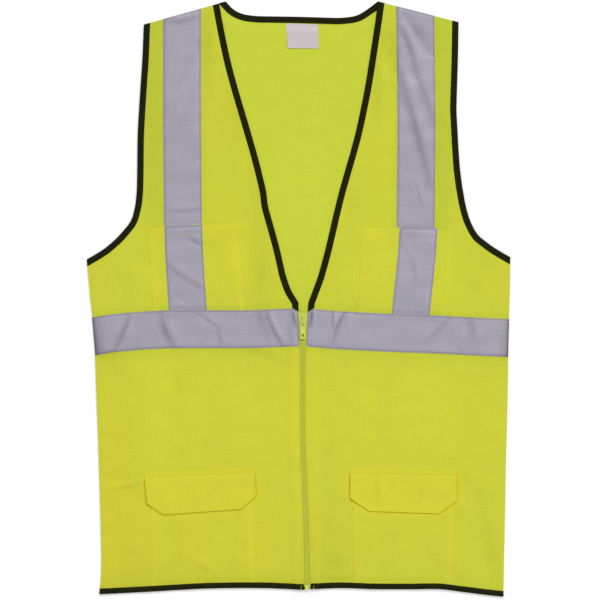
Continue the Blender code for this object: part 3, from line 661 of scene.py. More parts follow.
def plan_mesh(outline, grid, fine):
    """Points and triangles that fill an anticlockwise outline. Fine lines get rows of points."""
    closed = np.concatenate([outline, outline[:1]])
    groups = [outline]
    for depth in RINGS:
        row = even(moved(closed, depth), step=3.0)
        groups.append(row[inside(row, outline) & (distance(row, closed) > NEARLY * depth)])
    for line in fine:
        row = even(line, step=2.0)
        groups.append(row[inside(row, outline) & (distance(row, closed) > RINGS[-1])])
    low, high = outline.min(0), outline.max(0)
    row_step = grid * math.sqrt(3) / 2
    rows = np.arange(math.floor(low[1] / row_step), math.ceil(high[1] / row_step) + 1)
    columns = np.arange(math.floor(low[0] / grid) - 1, math.ceil(high[0] / grid) + 1)
    i, j = (axis.ravel() for axis in np.meshgrid(columns, rows))
    spots = np.stack([grid * (i + (j % 2) / 2), row_step * j], axis=1)
    spots = spots[inside(spots, outline)]
    spots = spots[distance(spots, closed) > RINGS[-1] + ROOM * grid]
    groups.append(spots[distance(spots, *fine) > ROOM * grid] if fine else spots)
    points = [tuple(point) for point in np.concatenate(groups)]
    filled = delaunay_2d_cdt(points, [], [list(range(len(outline)))], 1, 1e-5)
    return np.array([tuple(point) for point in filled[0]]), np.array(filled[2])


def record_slot(name):
    return next(part["material_slot"] for part in frame["record"]["subparts"] if part["node"] == name)


def add_mesh(name, points, faces, material, uv=None, values=()):
    """An object from points in millimetres. Values are numbers kept at its points, for materials to read."""
    mesh = bpy.data.meshes.new(name)
    mesh.from_pydata((np.asarray(points) * MM).tolist(), [], [list(map(int, face)) for face in faces])
    mesh.validate()
    mesh.shade_smooth()
    mesh.set_sharp_from_angle(angle=math.radians(48))
    if uv is not None:
        corner = np.zeros(len(mesh.loops), np.int32)
        mesh.loops.foreach_get("vertex_index", corner)
        layer = mesh.uv_layers.new(name="cut")
        layer.data.foreach_set("uv", (uv[corner] * MM).astype(np.float32).ravel())
    for key, numbers in dict(values).items():
        stored = mesh.attributes.new(key, "FLOAT", "POINT")
        stored.data.foreach_set("value", np.asarray(numbers, np.float32))
    mesh.materials.append(material)
    thing = bpy.data.objects.new(name, mesh)
    bpy.context.scene.collection.objects.link(thing)
    return thing


print("wall thicknesses and rings are set:", RINGS)

# %% Laying a sheet
tops = {}  # the upper side of each sheet, as a function of the place
cuts = {}  # and its outline


def lay(name, outline, under, wall, grid, middle_line=None, painted_light_and_tone=None, double=None, fine=()):
    """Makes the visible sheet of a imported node. Under is the height of its underside.

    The middle line is what its threads run along, and fine lines get rows of points."""
    points, triangles = plan_mesh(outline, grid, fine)
    low = under(points)
    count = len(points)
    directed = set()
    for a, b, c in triangles.tolist():
        for edge in ((a, b), (b, c), (c, a)):
            if edge[::-1] in directed:
                directed.discard(edge[::-1])
            else:
                directed.add(edge)
    faces = triangles[:, ::-1].tolist() + (triangles + count).tolist()
    faces += [(a, b, b + count, a + count) for a, b in sorted(directed)]
    both = np.concatenate([np.column_stack([points, low]), np.column_stack([points, low + wall])])
    uv = points if middle_line is None else np.stack(measure(points, middle_line)[::-1], axis=1)
    # the painted light and shade of the piece, kept on the mesh for its material
    shade = np.zeros(count) if painted_light_and_tone is None else painted_light_and_tone(points)
    layers = np.zeros(count) if double is None else double(points)
    slot = record_slot(name)
    values = {"painted_light_and_tone": np.tile(shade, 2), "double": np.tile(layers, 2)}
    piece = add_mesh(f"{name}_cloth", both, faces, finishes[slot], np.tile(uv, (2, 1)), values)
    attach(piece, "vest")
    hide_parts(name)
    tops[name] = lambda spots: under(spots) + wall
    cuts[name] = outline
    return len(triangles) * 2


print("sheets can be laid")

# %% [markdown]
# ## Painted light and shade in the cloth
#
# Some light and shade is painted into the cloth's colour and not built into its form: the shading of creases
# pressed in by storage, of hollows too fine to build, and the hue of a second layer that shows through. A
# table of soft patches holds it. Beside a seam the knit is thicker and lies lower, so a second table paints
# it darker there, as shade. The thin shadow below a flap is painted gold, as its light has passed through
# yellow cloth.

# %% Painted light and shade of the cloth: x, y, reach across, reach along, lighter by, yellower by
LIGHTER, YELLOWER = -2, -1  # the last two columns, here and in the next table
SHADES = [
    # shoulders and armholes
    (-197, 245, 16, 190, -0.09, -0.55), (-206, 340, 14, 60, -0.02, 0.0), (197, 245, 15, 190, -0.06, -0.6),
    (-122, 340, 9, 60, -0.07, -0.2), (110, 320, 10, 70, 0.0, -0.3), (106, 272, 8, 34, -0.075, 0.0),
    (118, 353, 7, 14, -0.08, 0.0), (124, 331, 3, 9, -0.11, 0.0), (129, 314, 3, 10, -0.12, 0.0),
    (116, 308, 5, 18, 0.06, 0.0), (-100, 280, 26, 90, -0.01, 0.05), (-162, 365, 30, 30, -0.04, 0.0),
    (160, 366, 30, 34, -0.08, 0.0),
    # chest
    (-240, 62, 40, 22, -0.02, 0.0), (240, 62, 34, 22, -0.01, 0.0), (94, 91, 13, 8, 0.045, 0.35),
    (-60, 190, 10, 70, -0.02, 0.0), (-50, 30, 14, 46, -0.05, 0.0), (-38, -6, 16, 12, -0.03, 0.0),
    (-97, 70, 22, 40, 0.02, 0.3), (100, 45, 36, 62, 0.045, -0.05), (198, 45, 15, 62, 0.07, 0.0),
    (-198, 48, 16, 60, 0.06, 0.1), (-78, 50, 18, 50, 0.02, 0.05), (-115, 72, 11, 8, -0.06, 0.0),
    (-88, 86, 22, 11, -0.055, 0.35), (-100, 62, 9, 22, -0.035, 0.0), (116, 220, 16, 90, 0.03, 0.05),
    (240, 10, 30, 40, 0.02, 0.0), (-240, 10, 30, 40, -0.01, 0.0), (2, 186, 6, 6, -0.03, 0.0),
    (-150, 88, 50, 8, -0.04, 0.0), (148, 88, 26, 8, -0.04, 0.0),
    # below the belt
    (-150, -150, 130, 70, 0.01, 0.22), (160, -150, 130, 80, 0.03, 0.12), (-62, -70, 16, 7, -0.05, 0.0),
    (-238, -150, 20, 60, -0.02, 0.0), (244, -140, 24, 80, -0.015, 0.0), (-165, -170, 34, 80, 0.01, 0.05),
    (-110, -180, 16, 90, -0.02, 0.0), (-253, -88, 26, 30, -0.035, 0.0), (-256, -73, 16, 6, -0.08, 0.0),
    (-165, -95, 9, 40, -0.02, 0.0), (-189, -88, 22, 26, 0.02, 0.0),
    # round the lower pockets and at the hem
    (-245, -270, 26, 110, -0.05, 0.55), (-222, -362, 34, 34, -0.045, 0.0), (-60, -320, 40, 50, -0.02, 0.25),
    (-130, -330, 60, 70, -0.02, 0.2), (130, -330, 90, 70, 0.0, 0.05), (262, -330, 14, 60, -0.03, 0.0),
    (50, -355, 24, 34, -0.05, 0.0), (-52, -335, 14, 45, -0.03, 0.35), (8, -335, 36, 46, -0.03, 0.0),
    (-215, -335, 40, 60, -0.04, 0.4), (50, -325, 22, 60, -0.02, 0.0), (-140, -330, 24, 50, -0.03, 0.3),
    (215, -330, 20, 60, -0.02, 0.0),
]


def shades(points, column):
    total = np.zeros(len(points))
    for row in SHADES:
        x, y, across, along = row[:4]
        total += row[column] * bell(points[:, 0] - x, across) * bell(points[:, 1] - y, along)
    return total


def painted_light_and_tone(points, hollow_shade=0.07):
    """Painted light and shade: how much lighter or darker the cloth is painted than its plain colour, darker
    in the hollows of the creases.
    """
    return shades(points, LIGHTER) - hollow_shade * crease_profile(points, CREASES)[1]


print(len(SHADES), "soft shades")

# %% Painted shade along the seams: reach, lighter by, yellower by
ALONG_SEAMS = {
    "belt_tape_right": (9, -0.065, -0.25), "belt_tape_left": (9, -0.065, -0.25),
    "hem_binding_right": (14, -0.11, 0.0), "hem_binding_left": (14, -0.05, -0.25),
    "side_right": (8, -0.045, 0.30), "side_left": (8, -0.02, 0.0),
}
seam_lines = {f"side_{side}": [line] for side, line in side_seams.items()}
for name in ALONG_SEAMS:
    if name not in seam_lines:
        seam_lines[name] = [even(line, step=9) for line in long_sides(name, 100)]


def along_seams(points, column):
    """Painted shade, with a shift of hue, that the belt, the hem and the side seams add to the knit beside
    them.
    """
    total = np.zeros(len(points))
    for name, row in ALONG_SEAMS.items():
        near = distance(points, *seam_lines[name], reach=5 * row[0])
        total += row[column] * np.exp(-near / row[0])
    return total


def knit_tone(points):
    """The painted light and shade of the knit on the fronts and the pockets."""
    return painted_light_and_tone(points) + along_seams(points, LIGHTER)


print("seams with a shade:", ", ".join(ALONG_SEAMS))

# %% How yellow the knit is: 0 for one layer, 1 for two, and 2 for the gold of a painted shadow
BASE_WARMTH = 0.39  # the layers below show through everywhere
FLAP_CORNER = 14.0  # degrees: the cut corners of a flap are blunt
# how far the painted gold shadow beside a flap reaches from its free edge
PAINTED_SHADOW_REACH = 3.0


def warmth(points, two_layers=0.0):
    """How far the knit is towards its two-layer colour, which is yellower."""
    yellower = shades(points, YELLOWER) + along_seams(points, YELLOWER)
    single = np.clip(BASE_WARMTH + yellower, 0, 1)
    return single + (1 - single) * two_layers


def flap_sides(side):
    """(sewn edge, free edges) of a pocket flap."""
    sides = sides_of(f"pocket_flap_{side}", corner=FLAP_CORNER)
    sewn = max(sides, key=lambda line: line[:, 1].mean())
    return sewn, [line for line in sides if line is not sewn]


def painted_flap_shadow(points, side):
    """Where the painted gold shadow of a flap lies: 1 at its free edges, fading away from them and towards its
    sewn edge.
    """
    sewn, free = flap_sides(side)
    left_to_right = np.argsort(sewn[:, 0])
    above = points[:, 1] - np.interp(points[:, 0], *sewn[left_to_right].T)
    return fade(above, -9, -2) * np.exp(-distance(points, *free) / PAINTED_SHADOW_REACH)


def rows_beside_flap(side):
    """Rows of points just outside a flap's free edges, which carry the fine line of painted gold shadow there.
    """
    free = flap_sides(side)[1]
    rows = [(moved(line, -depth), depth) for line in free for depth in (0.5, 1.5, 3.0)]
    return [row[distance(row, *free) > NEARLY * depth] for row, depth in rows]


print("warmth of the right front:", round(float(warmth(np.array([[-150.0, -150.0]]))[0]), 2))

# %% [markdown]
# ## The back
#
# The back is one panel of knit with three strips of tape on its outer side, which faces the table. Its neck
# edge and armhole edges go into bindings. A real binding grips the panel's edge between its two leaves, so
# the panel is grown a little past its packed outline, into the space inside the binding.

# %% Growing an outline
SUNK = 6.0  # how far a panel's edge reaches into its binding
WALL = 0.4  # thickness of the cloth


def grown(sides, amounts):
    """The outline with some sides moved outwards. Their ends slide along the neighbouring sides."""
    result = []
    for i, (side, amount) in enumerate(zip(sides, amounts)):
        if amount:
            before, after = sides[i - 1], sides[(i + 1) % len(sides)]
            wide = moved(side, -amount)
            for end, neighbour in ((0, before[-2] - before[-1]), (-1, after[1] - after[0])):
                out = wide[end] - side[end]
                slide = unit(neighbour)
                if abs(out @ slide) > 0.4 * amount:
                    wide[end] = side[end] + slide * (amount**2 / (out @ slide))
            side = wide
        result.append(side)
    return joined(result)


HELD_WITHIN = 1.5  # a side this near to a binding's edge is held by it
CORNER_POINTS = 12  # a side with no more points than this is only a corner


def into_bindings(sides, bindings):
    """The outline of a panel, with the edges that a binding holds grown into it."""
    lines = [even(line, step=9) for name in bindings for line in long_sides(name)]
    middles = [side[len(side) // 2][None] for side in sides]
    near = [distance(middle, *lines)[0] < HELD_WITHIN for middle in middles]
    held = [len(side) > CORNER_POINTS and found for side, found in zip(sides, near)]
    return grown(sides, [SUNK * found for found in held])


print("a panel's edge reaches", SUNK, "mm into its binding")

# %% Back panel
BACK_TOP, BACK_SINK = 2.35, 1.35  # height of its upper side, and how far it dips at a binding
back_bindings = ["neck_binding_back", "hem_binding_back"]
back_bindings += [f"armhole_binding_back_{side}" for side in ("right", "left")]
back_sides = sides_of("back_panel")
back_outline = into_bindings(back_sides, back_bindings)
held_edges = [even(line, step=9) for name in back_bindings for line in long_sides(name)]


def inside_any(points, lines):
    """Which points lie between the two long edges of a binding."""
    found = np.zeros(len(points), bool)
    for first, second in zip(lines[::2], lines[1::2]):
        if np.linalg.norm(first[-1] - second[0]) > np.linalg.norm(first[-1] - second[-1]):
            second = second[::-1]
        found |= inside(points, np.concatenate([first, second]))
    return found


def back_height(points):
    """The back dips to its bindings and is slightly uneven in between."""
    dip = BACK_SINK * fade(distance(points, *held_edges), 0.8, 13)
    sunk = np.where(inside_any(points, held_edges), BACK_SINK, dip)
    return BACK_TOP - WALL - sunk + 0.7 * ripples(points) * (1 - dip / BACK_SINK)


def back_tone(points):
    """Painted light and shade: paler in the middle of the V, darker under the neck binding and where the
    fronts close.
    """
    x, y = points.T
    pale = 0.03 * bell(x - 5, 60) * bell(y - 150, 90)
    return pale - 0.03 * bell(y - 372, 14) - 0.02 * fade(y, 10, 60)


print("triangles:", lay("back_panel", back_outline, back_height, WALL, 4.5, painted_light_and_tone=back_tone))

# %% Tapes on the outer side of the back
BACK_CREASES = [
    (-150, -28, -138, -44, -142, -60, 6, 0.5, 0.6), (60, -26, 70, -42, 64, -62, 6, 0.5, -0.6),
    (-160, 300, -150, 260, -158, 200, 6, 0.5, 0.6), (150, 250, 162, 200, 156, 140, 6, 0.5, -0.6),
]
TABLE_GAP = 0.03  # below the middle of a back tape, which lies on the floor


def lay_back_tape(name):
    sides = sides_of(name)
    edges = [even(side, step=6) for side in sides]
    longest = max(sides, key=len)

    def under(points):
        crease = np.clip(crease_profile(points, BACK_CREASES)[0], 0, 0.5)
        return TABLE_GAP + LAYER * fade(distance(points, *edges), 0.4, 5) + crease

    return lay(name, joined(sides), under, WALL, 3.2, middle_line=even(longest, step=12))


for name in ("belt_tape_back", "back_tape_right", "back_tape_left"):
    print(name, lay_back_tape(name))

# %% [markdown]
# ## The fronts
#
# Each front is a panel of knit. Along the zip its edge is turned back once, which shows as a paler strip
# with stitching. Pockets, flaps and tapes lie on it, each laid on the upper side of what is beneath, which
# keeps the layers apart. Their sewn edges are pressed down, and a pocket's mouth is left standing.

# %% Front panels
FRONT_TOP = 3.7
FACING = 17.4  # width of the turned edge, from the zip's middle


def front_height(points):
    return FRONT_TOP - WALL + lift(points)


def facing(points, side):
    """The turned edge beside the zip is two layers thick, and fuller on the wearer's right. Beside a flap's
    free edges the knit turns to the gold of a painted shadow.
    """
    off = points[:, 0] - zip_x(points[:, 1])
    strip = fade(np.abs(off), FACING - 0.6, FACING + 0.6) * fade(points[:, 1], -20, -8)
    under_zip = 0.9 * fade(np.abs(off), 5, 10)
    plain = warmth(points, strip * np.where(off < 0, 0.75, 0.35) * (1 - under_zip))
    return plain + (2 - plain) * painted_flap_shadow(points, side)


def panel_tone(side):
    """Painted shade: beside the tapes the panel lies lower, so it is painted a little darker there, and a
    little darker beside the lower zip.
    """
    names = (f"shoulder_tape_{side}", f"pocket_tape_{side}")
    lines = [even(line, step=9) for name in names for line in long_sides(name, 100)]

    def shaded(points):
        beside_zip = bell(points[:, 0] - zip_x(points[:, 1]), 11) * fade(points[:, 1], -60, -20)
        beside_tape = np.exp(-distance(points, *lines) / 4.5)
        return knit_tone(points) - 0.07 * beside_tape - 0.025 * beside_zip

    return shaded


for side in ("right", "left"):
    held = [f"{name}_{side}" for name in ("neck_binding", "armhole_binding_front", "hem_binding")]
    outline = into_bindings(front_sides[side], held)
    name = f"front_panel_{side}"
    shown = lay(name, outline, front_height, WALL, 3.3, painted_light_and_tone=panel_tone(side),
                double=lambda points: facing(points, side), fine=rows_beside_flap(side))
    print(name, shown)

# %% How a patch is pressed down at its seams
PUFF = 0.72  # how far sewn cloth stands off what it lies on, away from its seams
TAPE_PUFF = 0.45  # tape is stiffer and stays flatter
CLEAR = 0.02  # gap between a patch and what it is sewn on
ROW_DEPTH = 0.22  # how deep a row of stitching pulls the cloth in


def pressed(points, edges, full=0.4, zero=5.0):
    return fade(distance(points, *edges), full, zero) if edges else np.zeros(len(points))


def rows_pull(points, rows):
    """The channels that rows of stitching make."""
    return ROW_DEPTH * bell(distance(points, *rows), 1.1) if rows else 0.0


def pocket_height(side, sewn, far_foot, foot_press, rows):
    """The underside of a pocket on a front: puffed up, but pressed down at its sides and its foot."""
    def under(points):
        press = np.maximum(pressed(points, sewn, zero=8), pressed(points, [far_foot], *foot_press))
        puff = PUFF * (1 - press)
        return tops[f"front_panel_{side}"](points) + CLEAR + puff - np.minimum(rows_pull(points, rows), puff)

    return under


def by_height(sides):
    """The sides sorted from the one nearest to the hem to the one nearest to the neck."""
    return sorted(sides, key=lambda side: side[:, 1].mean())


def order(sides):
    """(foot, mouth, others) of a four-sided patch."""
    foot, *others, mouth = by_height(sides)
    return foot, mouth, others


print("sewn cloth stands", PUFF, "mm proud between its seams")

# %% Shoulder tapes
TUCK = 4.5  # how far a piece's foot goes under the one that covers it
TUCK_PRESS = (TUCK + 0.6, TUCK + 6)  # from the end of the foot: pressed down up to here, free from there


def tape_tone(points, edges):
    """Painted shade: tape shows darker hollows in its creases than knit does, and a dark line of shade along
    the row where it is sewn down.
    """
    return painted_light_and_tone(points, hollow_shade=0.26) - 0.30 * bell(distance(points, *edges) - 1.0, 0.9)


def lay_tape(name, below, head=0.0):
    """A strip of tape, sewn along its edges, laid on the piece below. Head lengthens its upper end."""
    sides = sides_of(name)
    foot, mouth, others = order(sides)
    wide = grown(sides, [TUCK if side is foot else head if side is mouth else 0 for side in sides])
    far_foot = moved(foot, -TUCK)
    edges = [even(side, step=6) for side in sides if side is not foot]

    def under(points):
        press = np.maximum(pressed(points, edges), pressed(points, [far_foot], *TUCK_PRESS))
        return tops[below](points) + CLEAR + TAPE_PUFF * (1 - press)

    line = even(max(others, key=len), step=12)
    return lay(name, wide, under, WALL, 1.8, middle_line=line, painted_light_and_tone=lambda points: tape_tone(points, edges))


for side in ("right", "left"):
    print(side, lay_tape(f"shoulder_tape_{side}", f"front_panel_{side}"))

# %% Chest pockets
ALLOWANCE = 9.0  # cloth turned under along a pocket's sides
SIDE_ROW = 1.5  # from a pocket's side to its first row of stitching
MOUTH = 0.6  # the pocket tape is sewn up to the mouth
BAND = {"right": (10.6, 13.2), "left": (12.4, 15.0)}  # rows below a pocket's mouth
CHEST_WARMTH = {"right": 0.6, "left": 0.1}  # how much yellower the turned edges are
chest_rows = {}


def towards(line, distance_down):
    """The line moved down the page."""
    return moved(line, distance_down if line[-1][0] < line[0][0] else -distance_down)


def lay_chest_pocket(side):
    name = f"chest_pocket_{side}"
    sides = sides_of(name)
    foot, mouth, sewn = order(sides)
    wide = grown(sides, [TUCK if line is foot else 0 for line in sides])
    far_foot = moved(foot, -TUCK)
    band = [towards(mouth, down) for down in BAND[side]]
    edges = [moved(line, depth) for line in sewn for depth in (SIDE_ROW, ALLOWANCE - 1.4)]
    chest_rows[side] = band + edges
    rows = [even(line, step=6) for line in chest_rows[side]]
    under = pocket_height(side, sewn, far_foot, TUCK_PRESS, rows)

    def turned(points):
        strip = fade(distance(points, *sewn), ALLOWANCE - 0.5, ALLOWANCE + 0.5)
        hem = fade(distance(points, mouth), BAND[side][1] + 0.6, BAND[side][1] + 1.6)
        return warmth(points, 0.1 + CHEST_WARMTH[side] * np.maximum(strip, hem))

    return lay(name, wide, under, WALL, 2.6, painted_light_and_tone=knit_tone, double=turned)


for side in ("right", "left"):
    print("chest pocket", side, lay_chest_pocket(side))
    print("and its tape", lay_tape(f"pocket_tape_{side}", f"chest_pocket_{side}", MOUTH))

# %% Belt
SEAM_SHADE = {"right": (0.33, 11.0), "left": (0.20, 7.0)}  # how deep, and its reach from the side seam
BELT_ROOM = {"chest_pocket": 0.44, "pocket_tape": 0.88}  # for what lies under the belt's upper edge
TUCKS = [row for row in CREASES if row[6] == 2.0]  # the two sharp creases beside the zip


def lay_belt(side):
    """The belt covers the feet of the pocket and of its tape, so its upper edge climbs over them."""
    name = f"belt_tape_{side}"
    sides = sides_of(name)
    lower, upper = by_height([line for line in sides if len(line) > 60])
    ends = [line for line in sides if len(line) < 60]
    end, seam = sorted(ends, key=lambda line: np.abs(line[:, 0]).mean())
    edges = [even(line, step=6) for line in sides if line is not upper]
    spans = [(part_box(f"{piece}_{side}"), needed) for piece, needed in BELT_ROOM.items()]

    def under(points):
        press = np.maximum(pressed(points, edges), pressed(points, [upper]))
        room = np.zeros(len(points))
        for (low, high), needed in spans:
            middle, half = (low.x + high.x) / 2 / MM, (high.x - low.x) / 2 / MM
            room = np.maximum(room, needed * fade(np.abs(points[:, 0] - middle), half + 1.5, half + 6))
        room *= fade(distance(points, upper), TUCK + 0.6, TUCK + 5)
        return tops[f"front_panel_{side}"](points) + CLEAR + np.maximum(TAPE_PUFF * (1 - press), room)

    sewn = [even(line, step=6) for line in (upper, lower, end)]

    def belt_tone(points):
        """Painted shade where it bends down to the side seam and in the troughs of two sharp creases beside
        the zip, and paler on the fold beside the zip.
        """
        round_seam = distance(points, seam)
        deep, reach = SEAM_SHADE[side]
        lower_down = np.clip((10 - points[:, 1]) / 75, 0, 1)
        shade = 0.40 * bell(round_seam, 2.2) + 0.15 * np.exp(-round_seam / 6)
        shade += deep * lower_down * bell(round_seam, reach)
        pale = 0.16 * bell(distance(points, end) - 3.2, 1.3) * fade(points[:, 1], -40, -30)
        # painted shade in the troughs of the two sharp creases beside the zip
        painted_tuck_shade = 1.1 * crease_profile(points, TUCKS)[1]
        return tape_tone(points, sewn) - shade + pale - painted_tuck_shade

    return lay(name, joined(sides), under, WALL, 1.8, middle_line=even(upper, step=12), painted_light_and_tone=belt_tone)


for side in ("right", "left"):
    print(side, lay_belt(side))

# %% Hip pockets
HEM_TUCK = 5.0  # how far their feet go into the hem binding
HIP_ROWS = (SIDE_ROW, 7.6)  # from a pocket's side
HIP_WARMTH = {"right": 0.6, "left": 0.3}
hip_rows = {}


def lay_hip_pocket(side):
    name = f"hip_pocket_{side}"
    sides = sides_of(name)
    foot, _, sewn = order(sides)
    wide = grown(sides, [HEM_TUCK if line is foot else 0 for line in sides])
    far_foot = moved(foot, -HEM_TUCK)
    hip_rows[side] = [moved(line, depth) for line in sewn for depth in HIP_ROWS]
    rows = [even(line, step=6) for line in hip_rows[side]]
    under = pocket_height(side, sewn, far_foot, (HEM_TUCK + 0.5, HEM_TUCK + 8), rows)

    def turned(points):
        plain = warmth(points, HIP_WARMTH[side] * fade(distance(points, *sewn), 8.5, 9.5))
        # beside a flap's free edges the knit turns to the gold of a painted shadow
        return plain + (2 - plain) * painted_flap_shadow(points, side)

    def hip_tone(points):
        # painted light: a little lighter over the turned-under sides
        return knit_tone(points) + 0.015 * fade(distance(points, *sewn), 8.0, 10.0)

    rows_of_painted_shadow = rows_beside_flap(side)
    return lay(name, wide, under, WALL, 3.0, painted_light_and_tone=hip_tone, double=turned, fine=rows_of_painted_shadow)


print("rows along a hip pocket's sides:", HIP_ROWS)

# %% Their flaps
FLAP_SEWN, FLAP_STEP = 5.0, 7.0  # the flap lies on the front up to here, then climbs over the pocket
FLAP_ROW = 5.6  # from the sewn edge to the row of stitching
FLAP_WALL = 0.8  # two layers
flap_rows = {}


def lay_flap(side):
    name = f"pocket_flap_{side}"
    sewn, free = flap_sides(side)
    flap_rows[side] = [towards(sewn, FLAP_ROW)[1:-1]]

    def under(points):
        depth = distance(points, sewn)
        rise = 1 - fade(depth, FLAP_SEWN, FLAP_SEWN + FLAP_STEP)
        curl = 0.35 * fade(distance(points, *free), 0.2, 8) * rise
        low = tops[f"front_panel_{side}"](points) + CLEAR + (LAYER + 0.06) * rise + curl
        return low - rows_pull(points, flap_rows[side]) * 0.5 * rise

    def flap_tone(points):
        # painted shade: a thin dark line along the row of stitching, and a soft darker band where the flap
        # climbs over the pocket
        row_shade = 0.10 * bell(distance(points, *flap_rows[side]), 0.8)
        return painted_light_and_tone(points) - 0.045 * bell(distance(points, sewn) - 8.5, 3.5) - row_shade

    # two layers, and the gold of a painted shadow on the rim of its free edges
    def flap_layers_and_painted_rim_shadow(points):
        return warmth(points, 0.75) + fade(distance(points, *free), 0.1, 1.0)

    rows = [moved(flap_rows[side][0], off) for off in (-1.0, 0.0, 1.0)]
    outline = joined(sides_of(name, corner=FLAP_CORNER))
    return lay(name, outline, under, FLAP_WALL, 2.6, painted_light_and_tone=flap_tone, double=flap_layers_and_painted_rim_shadow, fine=rows)


for side in ("right", "left"):
    print(side, "hip pocket", lay_hip_pocket(side), "and its flap", lay_flap(side))

# %% [markdown]
# ## Bindings
#
# A binding is a woven strip folded lengthwise over a raw edge and sewn through both leaves. Its section is
# the same all the way, so it is drawn once as a short table and swept between the two long edges of the
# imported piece. The leaf swells a little between the fold and the row of stitching, and dips at the stitches.

# %% Section of a folded binding: across from its inner edge, and height
SECTION = [
    (0.2, 3.98), (1.0, 4.20), (1.9, 4.05), (2.8, 4.42), (4.2, 4.62), (5.6, 4.54), (6.8, 4.22),
    (7.6, 3.72), (7.85, 3.42), (7.5, 3.06), (6.4, 2.92), (3.6, 2.90), (0.6, 2.90),
]
SECTION_WIDTH = 8.2
SECTION_WALL = 0.36
STITCH_ACROSS, STITCH_TOP = 1.9, 4.05 + SECTION_WALL / 2  # where the section dips at its stitches
FULLNESS = 1.10  # a pressed strip spreads a little past its packed edges
NUDGES = {"neck_binding_back": np.array([0, 0.8])}  # this one sits a little higher than packed


def section_loop():
    """(outer side, inner side) of the section, with the cloth's thickness between them."""
    line = np.array(SECTION)
    outer, inner_side = moved(line, SECTION_WALL / 2), moved(line, -SECTION_WALL / 2)
    return outer, inner_side


def binding_edges(name, beside, step=3.0):
    """(inner edge, outer edge) of a packed binding, point for point. Beside is the panel's outline."""
    first, second = sorted(sides_of(name), key=len)[-2:]
    if distance(first, *beside).mean() > distance(second, *beside).mean():
        first, second = second, first
    if np.linalg.norm(first[0] - second[0]) > np.linalg.norm(first[0] - second[-1]):
        second = second[::-1]
    count = round(np.hypot(*np.diff(first, axis=0).T).sum() / step) + 1
    return even(first, count=count), even(second, count=count)


outer, inner_side = section_loop()
print("section points:", len(outer) + len(inner_side), "height", round(float(np.ptp(outer[:, 1])), 2), "mm")


# %% Sweeping it
def signed_volume(points, faces):
    total = 0.0
    for face in faces:
        for b, c in zip(face[1:], face[2:]):
            total += points[face[0]] @ np.cross(points[b], points[c])
    return total


bound = {}  # the line of stitching on each binding, and the height of the binding there


def binding_rise(points, drop):
    """A binding of the fronts is lifted with them, and one of the back is lowered."""
    return lift(points) if drop == 0 else np.full(len(points), -drop)


def bind(name, beside, drop):
    """Sweeps the folded strip along a packed binding. Drop lowers it, for the back."""
    start, end = (edge + NUDGES.get(name, 0) for edge in binding_edges(name, beside))
    ring = np.concatenate([outer, inner_side[::-1]])
    count, around = len(start), len(ring)
    share = 0.5 + (ring[:, 0] / SECTION_WIDTH - 0.5) * FULLNESS
    plan = start[:, None] + (end - start)[:, None] * share[None, :, None]
    flat = plan.reshape(-1, 2)
    points = np.column_stack([flat, np.tile(ring[:, 1], count) + binding_rise(flat, drop)])
    faces = []
    for i in range(count - 1):
        for k in range(around):
            a, b = i * around + k, i * around + (k + 1) % around
            faces.append((a, b, b + around, a + around))
    half = len(outer)
    for i in (0, count - 1):
        for k in range(half - 1):
            a, b = i * around + k, i * around + around - 1 - k
            quad = (a, b, b - 1, a + 1)
            faces.append(quad if i == 0 else quad[::-1])
    if signed_volume(points, faces) < 0:
        faces = [tuple(face)[::-1] for face in faces]
    run = np.concatenate([[0], np.cumsum(np.hypot(*np.diff(start, axis=0).T))])
    turn = np.concatenate([[0], np.cumsum(np.hypot(*np.diff(outer, axis=0).T))])
    turn = np.concatenate([turn, turn[::-1]])
    uv = np.stack([np.tile(turn, count), np.repeat(run, around)], axis=1)
    worn = 0.5 * ripples(3 * flat)
    values = {"painted_light_and_tone": worn, "double": worn * 0}
    piece = add_mesh(f"{name}_cloth", points, faces, finishes["binding"], uv, values)
    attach(piece, "vest")
    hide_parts(name)
    stitched = start + (end - start) * (STITCH_ACROSS / SECTION_WIDTH)
    bound[name] = (stitched, lambda spots: STITCH_TOP + binding_rise(spots, drop))
    return len(faces)


for side in ("right", "left"):
    for name in ("armhole_binding_front", "neck_binding", "hem_binding"):
        print(name, side, bind(f"{name}_{side}", front_sides[side], 0))
    print("armhole_binding_back", side, bind(f"armhole_binding_back_{side}", back_sides, 2 * LAYER))
for name in ("neck_binding_back", "hem_binding_back"):
    print(name, bind(name, back_sides, 2 * LAYER))

# %% [markdown]
# ## Neck label
#
# A small satin label is sewn inside the back of the neck by its upper edge. It stays bare. It lies on the
# back panel and its loose lower edge lifts a little, so it drops a thin shadow.


# %% Label
LABEL_WALL, LABEL_GAP = 0.25, 0.05
CURLED = (-13, 339)  # the corner that lifts most


def lay_label():
    sides = sides_of("neck_label")
    sewn = by_height(sides)[-1]

    def under(points):
        loose = 1 - fade(distance(points, sewn), 1.2, 10)
        wave = 0.12 * np.sin(points[:, 0] / 6) * loose
        corner = 0.5 * bell(np.hypot(*(points - CURLED).T), 7)
        return tops["back_panel"](points) + LABEL_GAP + 0.35 * loose + wave + corner

    return lay("neck_label", joined(sides), under, LABEL_WALL, 2.0)


print("neck_label", lay_label())

# %% [markdown]
# ## The zip
#
# A zip is two woven tapes with a row of moulded teeth on each. The teeth of one side sit in the gaps of the
# other. One tooth is shaped from a block, with a neck and a head, and copied along the edge of its tape. The
# copies of a side are one mesh, with few faces each, because there are more than a hundred.

# %% Zip tapes
ZIP_TAPE_HEIGHT, CORD = 2.95, 0.8


def zip_tape_height(points):
    """The tapes rise to the cord that carries the teeth."""
    off = np.abs(points[:, 0] - zip_x(points[:, 1]))
    return ZIP_TAPE_HEIGHT + CORD * fade(off, 3.0, 5.5)


